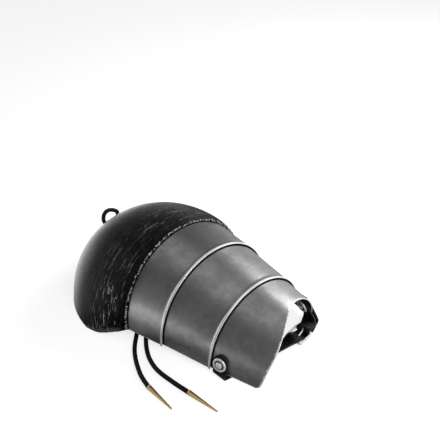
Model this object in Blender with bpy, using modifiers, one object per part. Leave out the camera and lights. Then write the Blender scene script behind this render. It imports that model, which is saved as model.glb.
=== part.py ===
"""Shoulder defence: a leather cap over three steel lames, with an arm strap and a lace.

The shell is a fan of half-ellipse sections that open towards the floor it rests on.
X runs down the arm, from the neck end (-X) to the arm opening (+X); -Y is the long side.
All lengths are metres and all angles are degrees.
"""
import math
from typing import NamedTuple

import bmesh
import bpy
import numpy as np
from mathutils import Vector

# Shell sizes, outer surface
CAP_REACH = 0.141            # neck end of the cap to its lower edge
UPPER_LAME_LENGTH = 0.0456   # visible lengths along the arm
MIDDLE_LAME_LENGTH = 0.0585
LOWER_LAME_LENGTH = 0.0520
SHELL_HALF_WIDTH = 0.1010
SHELL_HEIGHT = 0.0965
LEATHER_WALL = 0.0026
STEEL_WALL = 0.0012
LAP = 0.012                  # how far each lame runs on under the piece above it
LIP_FLARE = 0.0005           # the lower edge of a lame springs out by this much
LIP_WIDTH = 0.0022
CLEARANCE = 0.0003

# Arm strap, tab and buckle
STRAP_WIDTH = 0.0160
STRAP_THICKNESS = 0.0020
TAB_THICKNESS = 0.0016
BUCKLE_WIRE = 0.0024
BUCKLE_LENGTH = 0.0180       # between the centres of its two bars
BUCKLE_AT = Vector((0.1385, 0.0275, 0.0))
TONGUE_RADIUS = 0.00085
TAB_LEAN = 29.0             # the tab is turned on its rivet, its lower end towards the opening

# Rivets
NEAR_RIVET = (0.1150, 0.0142)   # along the arm, above the floor
FAR_RIVET = (0.1216, 0.0168)
WASHER_RADIUS = 0.0075
WASHER_THICKNESS = 0.0014
RIVET_HEAD_RADIUS = 0.0044
RIVET_HEAD_HEIGHT = 0.0024
STEM_RADIUS = 0.0018

# Lace
LACE_DIAMETER = 0.0040
LACE_HOLE_RADIUS = 0.0029
LACE_HOLE_SPACING = 0.0200
LACE_HOLE_ROW = 0.84         # where the holes sit between the cap's first two sections
LACE_SPACING = 0.0095        # distance between two points of the tube
AGLET_LENGTH = 0.0380
AGLET_RADIUS = 0.0026
AGLET_TIP_RADIUS = 0.0008

ARC_STEPS = 40
STEM_HOLE = STEM_RADIUS + CLEARANCE


class Section(NamedTuple):
    """A half ellipse that stands on its two side points, leaning along X by `tilt`."""
    x: float
    half_width: float
    side_z: float
    tilt: float
    rise: float


def section(length, share, width_share, side_share, tilt, rise_share):
    return Section(length * share, SHELL_HALF_WIDTH * width_share, SHELL_HEIGHT * side_share,
                   tilt, SHELL_HEIGHT * rise_share)


TO_MIDDLE = UPPER_LAME_LENGTH + MIDDLE_LAME_LENGTH
TO_LOWER = TO_MIDDLE + LOWER_LAME_LENGTH

# Cap sections, neck rim first. Columns: length, its share, half-width, side height, tilt, rise
CAP_SECTIONS = (
    section(CAP_REACH, -0.340, 1.015, 0.0012, -87.0, 0.964),
    section(CAP_REACH, -0.313, 1.000, 0.0090, -46.6, 0.998),
    section(CAP_REACH, -0.216, 1.008, 0.0045, -12.0, 0.998),
    section(CAP_REACH, 0.000, 0.867, 0.119, 0.1, 0.873),
)
# Lower edges of the three lames, same columns
UPPER_EDGE = section(UPPER_LAME_LENGTH, 1.0, 0.764, 0.095, 2.8, 0.779)
MIDDLE_EDGE = section(TO_MIDDLE, 1.0, 0.659, 0.052, 3.6, 0.647)
LOWER_EDGE = section(TO_LOWER, 1.0, 0.543, 0.012, 4.6, 0.546)

UNDER_LAME = STEEL_WALL + CLEARANCE + LIP_FLARE * 0.2   # from one lame's surface to the next one's
LOWER_SEAT = MIDDLE_EDGE._replace(half_width=MIDDLE_EDGE.half_width - UNDER_LAME,
                                  rise=MIDDLE_EDGE.rise - UNDER_LAME)

# Arm opening: how far the lower lame reaches, as a share of its length, by angle from the long side
ARM_EDGE = (
    (0, 0.95), (4, 1.04), (12, 1.08), (22, 1.11), (32, 1.13), (42, 1.14), (52, 1.12), (62, 1.07),
    (72, 0.995), (82, 0.90), (92, 0.79), (102, 0.70), (114, 0.645), (130, 0.605), (145, 0.575),
    (160, 0.545), (172, 0.51), (180, 0.44),
)
# Neck edge: how far up from the first cap section the leather is cut, by angle from the side
NECK_EDGE = ((0, 0.0), (25, 0.0), (45, 0.06), (65, 0.19), (90, 0.27))

# The lace's route, chosen by eye: inside the cap, over the floor and out under the long side
LACE_ROUTES = {
    "near": ((-0.1085, -0.0105, 0.0525), (-0.1030, -0.0115, 0.0400), (-0.1000, -0.0140, 0.0230),
             (-0.0945, -0.0185, 0.0090), (-0.0830, -0.0260, 0.0030), (-0.0640, -0.0370, 0.0022),
             (-0.0400, -0.0510, 0.0022), (-0.0160, -0.0650, 0.0022), (0.0000, -0.0745, 0.0022),
             (0.0090, -0.0800, 0.0022), (0.0150, -0.0880, 0.0022), (0.0205, -0.0957, 0.0022),
             (0.0300, -0.1020, 0.0022), (0.0430, -0.1075, 0.0022), (0.0560, -0.1130, 0.0022),
             (0.0690, -0.1180, 0.0024)),
    "far": ((-0.1080, 0.0098, 0.0525), (-0.1010, 0.0090, 0.0400), (-0.0960, 0.0060, 0.0230),
            (-0.0895, 0.0010, 0.0090), (-0.0780, -0.0070, 0.0030), (-0.0600, -0.0190, 0.0022),
            (-0.0360, -0.0350, 0.0022), (-0.0100, -0.0530, 0.0022), (0.0070, -0.0660, 0.0022),
            (0.0170, -0.0748, 0.0022), (0.0270, -0.0825, 0.0022), (0.0370, -0.0870, 0.0022),
            (0.0480, -0.0915, 0.0022), (0.0620, -0.0958, 0.0022), (0.0780, -0.0963, 0.0022),
            (0.0940, -0.0970, 0.0022), (0.1070, -0.0980, 0.0024)),
}
AGLET_HEADINGS = {"near": (1.0, -0.10), "far": (1.0, 0.00)}
# The loop that stands out of the two holes: along the hole line, outwards, upwards
LOOP_ROUTE = ((-0.97, 0.0042, 0.0062), (-0.55, 0.0048, 0.0094), (0.00, 0.0048, 0.0098),
              (0.55, 0.0040, 0.0078), (0.95, 0.0034, 0.0048))


# General helpers

def clear_scene():
    for obj in list(bpy.data.objects):
        bpy.data.objects.remove(obj, do_unlink=True)


def new_collection(name):
    collection = bpy.data.collections.new(name)
    bpy.context.scene.collection.children.link(collection)
    return collection


def new_material(name, colour, metallic, roughness):
    material = bpy.data.materials.new(name)
    material.use_nodes = True
    shader = material.node_tree.nodes["Principled BSDF"]
    shader.inputs["Base Color"].default_value = (*colour, 1.0)
    shader.inputs["Metallic"].default_value = metallic
    shader.inputs["Roughness"].default_value = roughness
    material.diffuse_color = (*colour, 1.0)
    return material


def add_object(name, data, collection, material, parent=None):
    obj = bpy.data.objects.new(name, data)
    collection.objects.link(obj)
    if material is not None:
        data.materials.append(material)
    obj.parent = parent
    return obj


def smooth_mesh(mesh, angle=40.0):
    mesh.shade_smooth()
    mesh.set_sharp_from_angle(angle=math.radians(angle))


def smooth_curve(points, steps):
    """A centripetal curve through `points`, `steps` to each stretch, which never overshoots.

    A row may hold more values after its three coordinates; they are blended along with them.
    """
    rows = np.array(points, float)
    padded = np.vstack((2 * rows[0] - rows[1], rows, 2 * rows[-1] - rows[-2]))
    knots = np.concatenate(([0.0], np.cumsum(
        np.sqrt(np.linalg.norm(np.diff(padded[:, :3], axis=0), axis=1)))))
    result = []
    for i in range(1, len(padded) - 2):
        a, b, c, d = padded[i - 1:i + 3]
        t0, t1, t2, t3 = knots[i - 1:i + 3]
        for t in t1 + (t2 - t1) * np.arange(steps) / steps:
            ab = a + (b - a) * (t - t0) / (t1 - t0)
            bc = b + (c - b) * (t - t1) / (t2 - t1)
            cd = c + (d - c) * (t - t2) / (t3 - t2)
            abc = ab + (bc - ab) * (t - t0) / (t2 - t0)
            bcd = bc + (cd - bc) * (t - t1) / (t3 - t1)
            result.append(abc + (bcd - abc) * (t - t1) / (t2 - t1))
    result.append(rows[-1])
    return np.array(result)


def even_spacing(points, spacing):
    """Resample a curve's points at an even distance along it."""
    points = np.array(points, float)
    along = np.concatenate(([0.0], np.cumsum(np.linalg.norm(np.diff(points, axis=0), axis=1))))
    count = max(2, round(along[-1] / spacing) + 1)
    at = np.linspace(0.0, along[-1], count)
    return np.stack([np.interp(at, along, points[:, k]) for k in range(3)], axis=1)


# The shell's surface

def blend_sections(sections, position):
    """The smooth (cubic) run through the four cap sections at `position`, 0 to 3."""
    total = np.zeros(5)
    for i, row in enumerate(sections):
        weight = 1.0
        for j in range(len(sections)):
            if j != i:
                weight *= (position - j) / (i - j)
        total += weight * np.array(row)
    return Section(*total)


def between(first, second, share):
    return Section(*(np.array(first) * (1 - share) + np.array(second) * share))


def inset(row, distance):
    """The same section moved in by `distance`; its side points stay at their height."""
    return row._replace(half_width=row.half_width - distance, rise=row.rise - distance)


def arch_point(row, angle):
    tilt = math.radians(row.tilt)
    up = row.rise * math.sin(angle)
    return Vector((row.x + up * math.sin(tilt), -row.half_width * math.cos(angle),
                   row.side_z + up * math.cos(tilt)))


def arch_angles():
    return [math.pi * i / ARC_STEPS for i in range(ARC_STEPS + 1)]


def sheet_object(name, rows, wall, collection, material, parent, cutters=()):
    """A closed plate: a grid of outer-surface points, thickened inwards and then drilled."""
    mesh = bpy.data.meshes.new(name)
    columns = len(rows[0])
    faces = [(i * columns + j, (i + 1) * columns + j, (i + 1) * columns + j + 1, i * columns + j + 1)
             for i in range(len(rows) - 1) for j in range(columns - 1)]
    mesh.from_pydata([point for row in rows for point in row], [], faces)
    smooth_mesh(mesh)
    obj = add_object(name, mesh, collection, material, parent)
    solidify = obj.modifiers.new("Wall", "SOLIDIFY")
    solidify.thickness = wall
    solidify.offset = -1.0
    solidify.use_even_offset = True
    for cutter in cutters:
        drill(obj, cutter)
    return obj


def shell_object(name, outer_rows, inner_rows, collection, material, parent, cutters=()):
    """A closed plate between two grids of points that have the same rows and columns."""
    count, columns = len(outer_rows), len(outer_rows[0])
    shift = count * columns
    faces = []
    for i in range(count - 1):
        for j in range(columns - 1):
            quad = (i * columns + j, (i + 1) * columns + j, (i + 1) * columns + j + 1,
                    i * columns + j + 1)
            faces.append(quad)
            faces.append(tuple(shift + k for k in reversed(quad)))
    border = [*range(columns), *((i + 1) * columns - 1 for i in range(1, count)),
              *range(shift - 2, shift - columns - 1, -1), *(i * columns for i in range(count - 2, 0, -1))]
    for first, second in zip(border, border[1:] + border[:1]):
        faces.append((first, second, shift + second, shift + first))
    mesh = bpy.data.meshes.new(name)
    mesh.from_pydata([point for row in (*outer_rows, *inner_rows) for point in row], [], faces)
    smooth_mesh(mesh)
    obj = add_object(name, mesh, collection, material, parent)
    for cutter in cutters:
        drill(obj, cutter)
    return obj


def drill(obj, cutter):
    boolean = obj.modifiers.new("Hole " + cutter.name, "BOOLEAN")
    boolean.operation = "DIFFERENCE"
    boolean.solver = "EXACT"
    boolean.object = cutter


def cylinder_cutter(name, centre, axis, radius, depth, collection, parent, segments=20):
    mesh = bpy.data.meshes.new(name)
    bm = bmesh.new()
    bmesh.ops.create_cone(bm, cap_ends=True, segments=segments, radius1=radius, radius2=radius,
                          depth=depth)
    bm.to_mesh(mesh)
    bm.free()
    obj = add_object(name, mesh, collection, None, parent)
    obj.location = centre
    obj.rotation_euler = Vector(axis).to_track_quat("Z", "Y").to_euler()
    obj.hide_render = True
    obj.display_type = "WIRE"
    return obj


# Places on the lower lame's wall, where the straps are riveted

def wall_section(x, z):
    """The lower lame's section whose side wall passes through (x, z)."""
    share = 0.0
    for _ in range(8):
        row = between(LOWER_SEAT, LOWER_EDGE, share)
        at = row.x + (z - row.side_z) * math.tan(math.radians(row.tilt))
        share += (x - at) / LOWER_LAME_LENGTH
    return between(LOWER_SEAT, LOWER_EDGE, share)


def wall_point(x, z, side):
    row = wall_section(x, z)
    angle = math.asin(max(0.0, min(1.0, (z - row.side_z) / (row.rise * math.cos(math.radians(row.tilt))))))
    return Vector((x, side * row.half_width * math.cos(angle), z))


def wall_frame(x, z, side):
    """Point, outward normal and lengthwise direction of the wall; side is -1 near, 1 far."""
    step = 0.001
    point = wall_point(x, z, side)
    along = (wall_point(x + step, z, side) - wall_point(x - step, z, side)).normalized()
    up = (wall_point(x, z + step, side) - wall_point(x, z - step, side)).normalized()
    normal = along.cross(up) if side < 0 else up.cross(along)
    return point, normal.normalized(), along


# Bent leather strips

def ribbon_object(name, stations, thickness, collection, material, parent, round_ends=(True, True),
                  cutters=()):
    """A flat strip along `stations`, each (centre, width vector); its ends are rounded.

    A width vector is one long where it is square to the strip and longer along a slanting fold.
    """
    rows = [(*centre, *width) for centre, width in stations]
    rows = smooth_curve(rows, 4)
    centres = rows[:, :3]
    along = np.concatenate(([0.0], np.cumsum(np.linalg.norm(np.diff(centres, axis=0), axis=1))))
    half = STRAP_WIDTH / 2
    marks = sorted({*along[1:-1], *(half * (1 - math.cos(math.radians(a))) for a in (0, 25, 50, 72)),
                    *(along[-1] - half * (1 - math.cos(math.radians(a))) for a in (0, 25, 50, 72))})
    marks = [m for i, m in enumerate(marks) if i == 0 or m - marks[i - 1] > 0.0004]
    marks[-1] = along[-1]
    bm = bmesh.new()
    rings = []
    for mark in marks:
        data = np.array([np.interp(mark, along, rows[:, k]) for k in range(6)])
        ahead = np.array([np.interp(mark + 0.0005, along, rows[:, k]) for k in range(3)])
        back = np.array([np.interp(mark - 0.0005, along, rows[:, k]) for k in range(3)])
        tangent = Vector(ahead - back).normalized()
        width = Vector(data[3:])
        normal = tangent.cross(width).normalized()
        reach = half
        for distance, rounded in ((mark, round_ends[0]), (along[-1] - mark, round_ends[1])):
            if rounded and distance < half:
                reach = min(reach, max(half * 0.22, math.sqrt(half ** 2 - (half - distance) ** 2)))
        centre = Vector(data[:3])
        corners = ((-1, -1), (1, -1), (1, 1), (-1, 1))
        rings.append([bm.verts.new(centre + width * reach * a + normal * thickness / 2 * b)
                      for a, b in corners])
    for first, second in zip(rings, rings[1:]):
        for k in range(4):
            bm.faces.new((first[k], first[(k + 1) % 4], second[(k + 1) % 4], second[k]))
    bm.faces.new(list(reversed(rings[0])))
    bm.faces.new(rings[-1])
    bmesh.ops.recalc_face_normals(bm, faces=bm.faces)
    mesh = bpy.data.meshes.new(name)
    bm.to_mesh(mesh)
    bm.free()
    smooth_mesh(mesh)
    obj = add_object(name, mesh, collection, material, parent)
    for cutter in cutters:
        drill(obj, cutter)
    return obj


def on_wall(x, z, side, offset, lean=0.0):
    """A strip's station on the wall, `offset` out from its surface; `lean` turns the strip."""
    point, normal, along = wall_frame(x, z, side)
    up = normal.cross(along) if side < 0 else along.cross(normal)
    turn = math.radians(lean)
    return point + normal * offset, along * math.cos(turn) + up * math.sin(turn)


# Turned and round pieces

def turned_object(name, profile, centre, axis, collection, material, parent, steps=20):
    """A profile of (radius, height) pairs, listed from the top down, turned about `axis`."""
    mesh = bpy.data.meshes.new(name)
    closed = profile[0][0] > 0
    points = [(radius, 0.0, height) for radius, height in profile]
    edges = [(i, i + 1) for i in range(len(points) - 1)]
    if closed:
        edges.append((len(points) - 1, 0))
    mesh.from_pydata(points, edges, [])
    obj = add_object(name, mesh, collection, material, parent)
    screw = obj.modifiers.new("Turn", "SCREW")
    screw.steps = steps
    screw.render_steps = steps
    screw.use_merge_vertices = True
    screw.merge_threshold = 0.00001
    obj.location = centre
    obj.rotation_euler = Vector(axis).to_track_quat("Z", "Y").to_euler()
    return obj


def washer_profile(inner, outer, bottom, thickness):
    rim = thickness * 0.35
    return ((inner, bottom + thickness * 0.75), (inner + rim, bottom + thickness),
            (outer - rim, bottom + thickness), (outer, bottom + thickness - rim), (outer, bottom),
            (inner, bottom))


def rivet_profile(head_bottom, head_height, head_radius, stem_bottom, foot_radius, foot_height):
    """A domed head, a stem and the closed foot on the inside."""
    dome = [(head_radius * math.sin(math.radians(a)),
             head_bottom + head_height * (0.3 + 0.7 * math.cos(math.radians(a))))
            for a in (0, 30, 55, 75, 90)]
    dome[0] = (0.0, dome[0][1])
    return (*dome, (head_radius, head_bottom), (STEM_RADIUS, head_bottom), (STEM_RADIUS, stem_bottom),
            (foot_radius, stem_bottom), (foot_radius * 0.8, stem_bottom - foot_height),
            (0.0, stem_bottom - foot_height))


def tube_object(name, points, radius, collection, material, parent, resolution=3):
    curve = bpy.data.curves.new(name, "CURVE")
    curve.dimensions = "3D"
    curve.bevel_depth = radius
    curve.bevel_resolution = resolution
    curve.use_fill_caps = True
    spline = curve.splines.new("POLY")
    spline.points.add(len(points) - 1)
    for target, point in zip(spline.points, points):
        target.co = (*point, 1.0)
    return add_object(name, curve, collection, material, parent)


# The object's parts

def build_cap(collection, material, parent, cutters):
    angles = arch_angles()
    degrees = [math.degrees(a) for a in angles]
    folded = [min(d, 180.0 - d) for d in degrees]
    starts = np.interp(folded, [a for a, _ in NECK_EDGE], [s for _, s in NECK_EDGE])
    steps = 14
    outer_rows, inner_rows = [], []
    for i in range(steps + 1):
        sections = [blend_sections(CAP_SECTIONS, start + (3.0 - start) * i / steps) for start in starts]
        outer_rows.append([arch_point(row, angle) for row, angle in zip(sections, angles)])
        inner_rows.append([arch_point(inset(row, LEATHER_WALL), angle)
                           for row, angle in zip(sections, angles)])
    return shell_object("leather_cap", outer_rows, inner_rows, collection, material, parent, cutters)


def lame_rows(start, seat, edge):
    """From the hidden top under the piece above, past its seat, to the flared lower edge."""
    before_lip = between(seat, edge, 1.0 - LIP_WIDTH / (edge.x - seat.x))
    lip = inset(edge, -LIP_FLARE)
    rows = [start, seat, between(seat, before_lip, 0.5), before_lip, lip]
    return [[arch_point(row, angle) for angle in arch_angles()] for row in rows]


def build_lames(collection, material, parent, cutters):
    under_cap = LEATHER_WALL + CLEARANCE + 0.0001
    cap_edge = CAP_SECTIONS[-1]
    start = blend_sections(CAP_SECTIONS, 3.0 - LAP / (CAP_REACH * 0.241))
    upper_start = inset(start, under_cap + 0.0012)
    upper_seat = inset(cap_edge, under_cap)
    sheet_object("upper_lame", lame_rows(upper_start, upper_seat, UPPER_EDGE), STEEL_WALL, collection,
                 material, parent)

    lap_share = LAP / (UPPER_EDGE.x - upper_seat.x)
    middle_start = inset(between(UPPER_EDGE, upper_seat, lap_share), UNDER_LAME + 0.0004)
    middle_seat = inset(UPPER_EDGE, UNDER_LAME)
    sheet_object("middle_lame", lame_rows(middle_start, middle_seat, MIDDLE_EDGE), STEEL_WALL,
                 collection, material, parent)

    lap_share = LAP / (MIDDLE_EDGE.x - middle_seat.x)
    lower_start = inset(between(MIDDLE_EDGE, middle_seat, lap_share), UNDER_LAME + 0.0004)
    angles = arch_angles()
    reach = np.interp([math.degrees(a) for a in angles], [a for a, _ in ARM_EDGE],
                      [s for _, s in ARM_EDGE])
    rows = [[arch_point(lower_start, a) for a in angles], [arch_point(LOWER_SEAT, a) for a in angles]]
    steps = 6
    for i in range(1, steps + 1):
        rows.append([arch_point(between(LOWER_SEAT, LOWER_EDGE, share * i / steps), a)
                     for a, share in zip(angles, reach)])
    sheet_object("lower_lame", rows, STEEL_WALL, collection, material, parent, cutters)


def riveted_stack(prefix, side, outer_leather, inner_leather, collection, parent, materials):
    """A rivet through the wall and its leather, with a washer under each end."""
    place = NEAR_RIVET if side < 0 else FAR_RIVET
    point, normal, _ = wall_frame(*place, side)
    inner_radius = WASHER_RADIUS if inner_leather else WASHER_RADIUS * 0.75
    hollow = inner_radius ** 2 / (2 * wall_section(*place).half_width)
    outside = outer_leather + 2 * CLEARANCE
    inside = -STEEL_WALL - (inner_leather + 3 * CLEARANCE + hollow if inner_leather else 0.0)
    inside -= CLEARANCE + hollow
    turned_object(prefix + "_outer_washer",
                  washer_profile(STEM_HOLE, WASHER_RADIUS, outside, WASHER_THICKNESS),
                  point, normal, collection, materials["nickel"], parent, steps=22)
    turned_object(prefix + "_inner_washer",
                  washer_profile(STEM_HOLE, inner_radius, -inside, WASHER_THICKNESS),
                  point, -normal, collection, materials["nickel"], parent, steps=22)
    head_bottom = outside + WASHER_THICKNESS + CLEARANCE
    stem_bottom = inside - WASHER_THICKNESS - CLEARANCE
    turned_object(prefix + "_rivet",
                  rivet_profile(head_bottom, RIVET_HEAD_HEIGHT, RIVET_HEAD_RADIUS, stem_bottom,
                                RIVET_HEAD_RADIUS * 0.8, RIVET_HEAD_HEIGHT * 0.55),
                  point, normal, collection, materials["nickel"], parent)


def build_strap(collection, material, parent, cutters):
    """From its rivet on the near wall, under the wall's edge, over the floor to the buckle."""
    out = CLEARANCE + STRAP_THICKNESS / 2
    low = STRAP_THICKNESS / 2 + 0.00005
    at = BUCKLE_AT
    front_bar, end_bar = buckle_bars()
    over = front_bar.z + BUCKLE_WIRE / 2 + CLEARANCE + STRAP_THICKNESS / 2
    x, z = NEAR_RIVET
    foot = wall_section(x, 0.004)
    side_y = -foot.half_width
    fold = Vector((1.0, -0.10, 0.0)).normalized()
    outside = side_y - out
    stations = [on_wall(x, z + 0.0098, -1, out + 0.0001),
                on_wall(x, z + 0.0040, -1, out + 0.0001),
                on_wall(x, z - 0.0040, -1, out + 0.0001),
                on_wall(x, foot.side_z + 0.0024, -1, out + 0.0001),
                ((x + 0.0001, outside - 0.0014, low + 0.0036), (0.995, 0.08, 0.0)),
                ((x + 0.0004, outside - 0.0024, low + 0.0020), (0.999, -0.05, 0.0)),
                ((x + 0.0007, outside - 0.0016, low + 0.0005), fold),
                ((x + 0.0012, outside + 0.0006, low + 0.0001), fold),
                ((x + 0.0028, side_y + 0.0060, low), (0.990, -0.14, 0.0)),
                ((x + 0.0065, side_y + 0.0220, low), (0.976, -0.22, 0.0)),
                ((x + 0.0112, side_y + 0.0420, low + 0.0004), (0.975, -0.22, 0.04)),
                ((at.x - 0.0062, at.y - 0.0300, low + 0.0018), (0.957, -0.21, 0.20)),
                ((at.x - 0.0020, at.y - 0.0170, low + 0.0027), (0.955, -0.12, 0.27)),
                ((at.x, front_bar.y, over), (1.0, 0.0, 0.0)),
                ((at.x, at.y - 0.0040, over - 0.0008), (1.0, 0.0, 0.0)),
                ((at.x, at.y + 0.0020, low + 0.0009), (1.0, 0.02, 0.0)),
                ((at.x - 0.0001, at.y + 0.0070, low), (1.0, 0.04, 0.0)),
                ((at.x - 0.0010, end_bar.y + 0.0060, low), (1.0, 0.10, 0.0))]
    return ribbon_object("arm_strap", stations, STRAP_THICKNESS, collection, material, parent,
                         cutters=cutters)


def buckle_bars():
    """Centres of the front bar and of the end bar that carries the tab."""
    front = Vector((BUCKLE_AT.x, BUCKLE_AT.y - BUCKLE_LENGTH / 2, BUCKLE_WIRE / 2 + 0.0020))
    end_z = (STRAP_THICKNESS + 0.00005 + CLEARANCE + TAB_THICKNESS + CLEARANCE + BUCKLE_WIRE / 2)
    end = Vector((BUCKLE_AT.x, BUCKLE_AT.y + BUCKLE_LENGTH / 2, end_z))
    return front, end


def build_tab(collection, material, parent, cutters):
    """Folded round the buckle's end bar, one layer outside the far wall and one inside it."""
    out = CLEARANCE + TAB_THICKNESS / 2
    inner = -STEEL_WALL - out
    _, bar = buckle_bars()
    fold = BUCKLE_WIRE / 2 + CLEARANCE + TAB_THICKNESS / 2
    x, z = FAR_RIVET
    foot = wall_section(x + 0.006, 0.004)
    side_y = foot.half_width
    lower = bar.z - fold
    slant = math.radians(TAB_LEAN)
    foot_x = x + z * math.tan(slant)

    _, _, along = wall_frame(x + 0.006, z, 1)
    crease = along / math.cos(slant)
    outward = Vector((-along.y, along.x, 0.0))
    flat = along * math.cos(slant) + outward * math.sin(slant)

    def wall_station(height, offset):
        return on_wall(x + (z - height) * math.tan(slant), height, 1, offset, TAB_LEAN)

    start = Vector((foot_x - 0.0006, side_y - 0.0022))
    run = start.y - bar.y
    slope = flat.y / flat.x

    def over_floor(share, height):
        """A station on the floor's stretch, which eases from the fold's heading into the bar's."""
        s2, s3 = share ** 2, share ** 3
        sideways = run * slope * (share - 2 * s2 + s3) + (bar.x - start.x) * (3 * s2 - 2 * s3)
        ahead = slope * (1 - 4 * share + 3 * s2) + (bar.x - start.x) / run * 6 * (share - s2)
        width = Vector((1.0, ahead, 0.0)).normalized()
        return (start.x + sideways, start.y - run * share, height), width

    bend = 0.0016
    low = TAB_THICKNESS / 2 + 0.0001
    square = (1.0, 0.0, 0.0)
    stations = [wall_station(z + 0.0090, out + 0.0001),
                wall_station(z + 0.0040, out + 0.0001),
                wall_station(z - 0.0040, out + 0.0001),
                ((foot_x - 0.0030, side_y + out + 0.0006, foot.side_z + 0.0024), crease),
                ((foot_x - 0.0014, side_y + out + 0.0004, low + bend), crease),
                ((foot_x - 0.0010, side_y + out + 0.0004 - bend * 0.3, low + bend * 0.3), crease),
                ((foot_x - 0.0006, side_y + out + 0.0004 - bend, low), crease),
                over_floor(0.28, low + 0.0002),
                over_floor(0.52, low + 0.0014),
                over_floor(0.80, lower),
                ((bar.x, bar.y, bar.z - fold), square),
                ((bar.x, bar.y - fold * 0.707, bar.z - fold * 0.707), square),
                ((bar.x, bar.y - fold, bar.z), square),
                ((bar.x, bar.y - fold * 0.707, bar.z + fold * 0.707), square),
                ((bar.x, bar.y, bar.z + fold), square),
                over_floor(0.80, bar.z + fold - 0.0004),
                over_floor(0.62, lower + 0.0022),
                over_floor(0.42, 0.0042),
                ((foot_x - 0.0006, side_y - 0.0052, 0.0046), crease),
                ((foot_x - 0.0014, side_y - 0.0038, 0.0062), crease),
                wall_station(z - 0.0030, inner - 0.0004),
                wall_station(z + 0.0035, inner - 0.0003),
                wall_station(z + 0.0090, inner - 0.0004)]
    return ribbon_object("buckle_tab", stations, TAB_THICKNESS, collection, material, parent,
                         cutters=cutters)


def build_buckle(collection, materials, parent):
    front, end = buckle_bars()
    half = STRAP_WIDTH / 2 + 0.0006 + BUCKLE_WIRE / 2
    corner = BUCKLE_WIRE / 2 + 0.0002
    rise = (end.z - front.z) / BUCKLE_LENGTH
    middle = (front + end) / 2
    reach = BUCKLE_LENGTH / 2
    outline = []
    for cx, cy, start in ((half - corner, reach - corner, 0), (-half + corner, reach - corner, 90),
                          (-half + corner, -reach + corner, 180), (half - corner, -reach + corner, 270)):
        for turn in (0, 30, 60, 90):
            angle = math.radians(start + turn)
            x, y = cx + corner * math.cos(angle), cy + corner * math.sin(angle)
            outline.append((middle.x + x, middle.y + y, middle.z + y * rise))
    frame = tube_object("buckle_frame", outline, BUCKLE_WIRE / 2, collection, materials["nickel"],
                        parent, resolution=3)
    frame.data.splines[0].use_cyclic_u = True
    frame.data.use_fill_caps = False

    radius = TONGUE_RADIUS
    bar_side = end.y - BUCKLE_WIRE / 2 - CLEARANCE - radius
    low = radius + 0.0001
    tongue = [(end.x, bar_side, end.z + 0.0004), (end.x, bar_side - 0.0030, end.z - 0.0008),
              (end.x, BUCKLE_AT.y + 0.0015, 0.0037), (end.x, BUCKLE_AT.y - 0.0035, 0.0016),
              (end.x, front.y + 0.0010, low), (end.x, front.y - 0.0030, low)]
    tube_object("buckle_tongue", smooth_curve(tongue, 3), radius, collection, materials["nickel"],
                parent, resolution=2)


def lace_hole_frame(side):
    """Centre and outward normal of a lace hole; side is -1 near, 1 far."""
    row = blend_sections(CAP_SECTIONS, LACE_HOLE_ROW)
    angle = math.acos(-side * LACE_HOLE_SPACING / 2 / row.half_width)
    point = arch_point(row, angle)
    ahead = arch_point(blend_sections(CAP_SECTIONS, LACE_HOLE_ROW + 0.05), angle) - point
    across = arch_point(row, angle + 0.02) - point
    return point, ahead.cross(across).normalized()


def build_lace(collection, materials, parent):
    radius = LACE_DIAMETER / 2
    mouths = {}
    for name, side in (("near", -1), ("far", 1)):
        point, normal = lace_hole_frame(side)
        mouths[name] = (point, normal)
        start = point - normal * (LEATHER_WALL / 2 + CLEARANCE / 2)
        bend = start - normal * 0.0050
        points = even_spacing(smooth_curve([start, bend, *LACE_ROUTES[name]], 8), LACE_SPACING)
        points = [start, start - normal * 0.0025, *points[1:]]
        tube_object("lace_tail_" + name, points, radius, collection, materials["lace"], parent)

        last = Vector(points[-1])
        heading = Vector((*AGLET_HEADINGS[name], 0.0)).normalized()
        drop = (AGLET_RADIUS - AGLET_TIP_RADIUS) / AGLET_LENGTH
        heading = (heading - Vector((0.0, 0.0, drop))).normalized()
        cone_start = last + heading * (CLEARANCE + 0.0004)
        cone_start.z = AGLET_RADIUS + 0.0003
        profile = ((AGLET_TIP_RADIUS * 0.5, AGLET_LENGTH), (AGLET_TIP_RADIUS, AGLET_LENGTH - 0.0008),
                   (AGLET_RADIUS * 0.93, 0.004), (AGLET_RADIUS, 0.0012), (AGLET_RADIUS, 0.0))
        profile = ((0.0, AGLET_LENGTH), *profile, (0.0, 0.0))
        turned_object("aglet_" + name, profile, cone_start, heading, collection, materials["brass"],
                      parent, steps=14)

    near, far = mouths["near"], mouths["far"]
    middle, reach = (near[0] + far[0]) / 2, (far[0] - near[0]) / 2
    outward = (near[1] + far[1]).normalized()
    sink = -LEATHER_WALL / 2 + CLEARANCE / 2
    upward = Vector((0.0, 0.0, 1.0))
    arch = [middle + reach * along + outward * out + upward * up for along, out, up in LOOP_ROUTE]
    route = [near[0] + near[1] * 0.0040, *arch, far[0] + far[1] * 0.0040]
    points = even_spacing(smooth_curve(route, 6), LACE_SPACING * 0.42)
    points = [near[0] + near[1] * sink, *points, far[0] + far[1] * sink]
    tube_object("lace_loop", points, radius, collection, materials["lace"], parent)


def stand_on_origin(parent, objects):
    """Move the whole object so that the middle of its foot is at the origin."""
    bpy.context.view_layer.update()
    graph = bpy.context.evaluated_depsgraph_get()
    corners = []
    for obj in objects:
        evaluated = obj.evaluated_get(graph)
        corners += [evaluated.matrix_world @ vertex.co for vertex in evaluated.to_mesh().vertices]
        evaluated.to_mesh_clear()
    low = [min(c[k] for c in corners) for k in range(3)]
    high = [max(c[k] for c in corners) for k in range(3)]
    parent.location = (-(low[0] + high[0]) / 2, -(low[1] + high[1]) / 2, -low[2])


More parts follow.
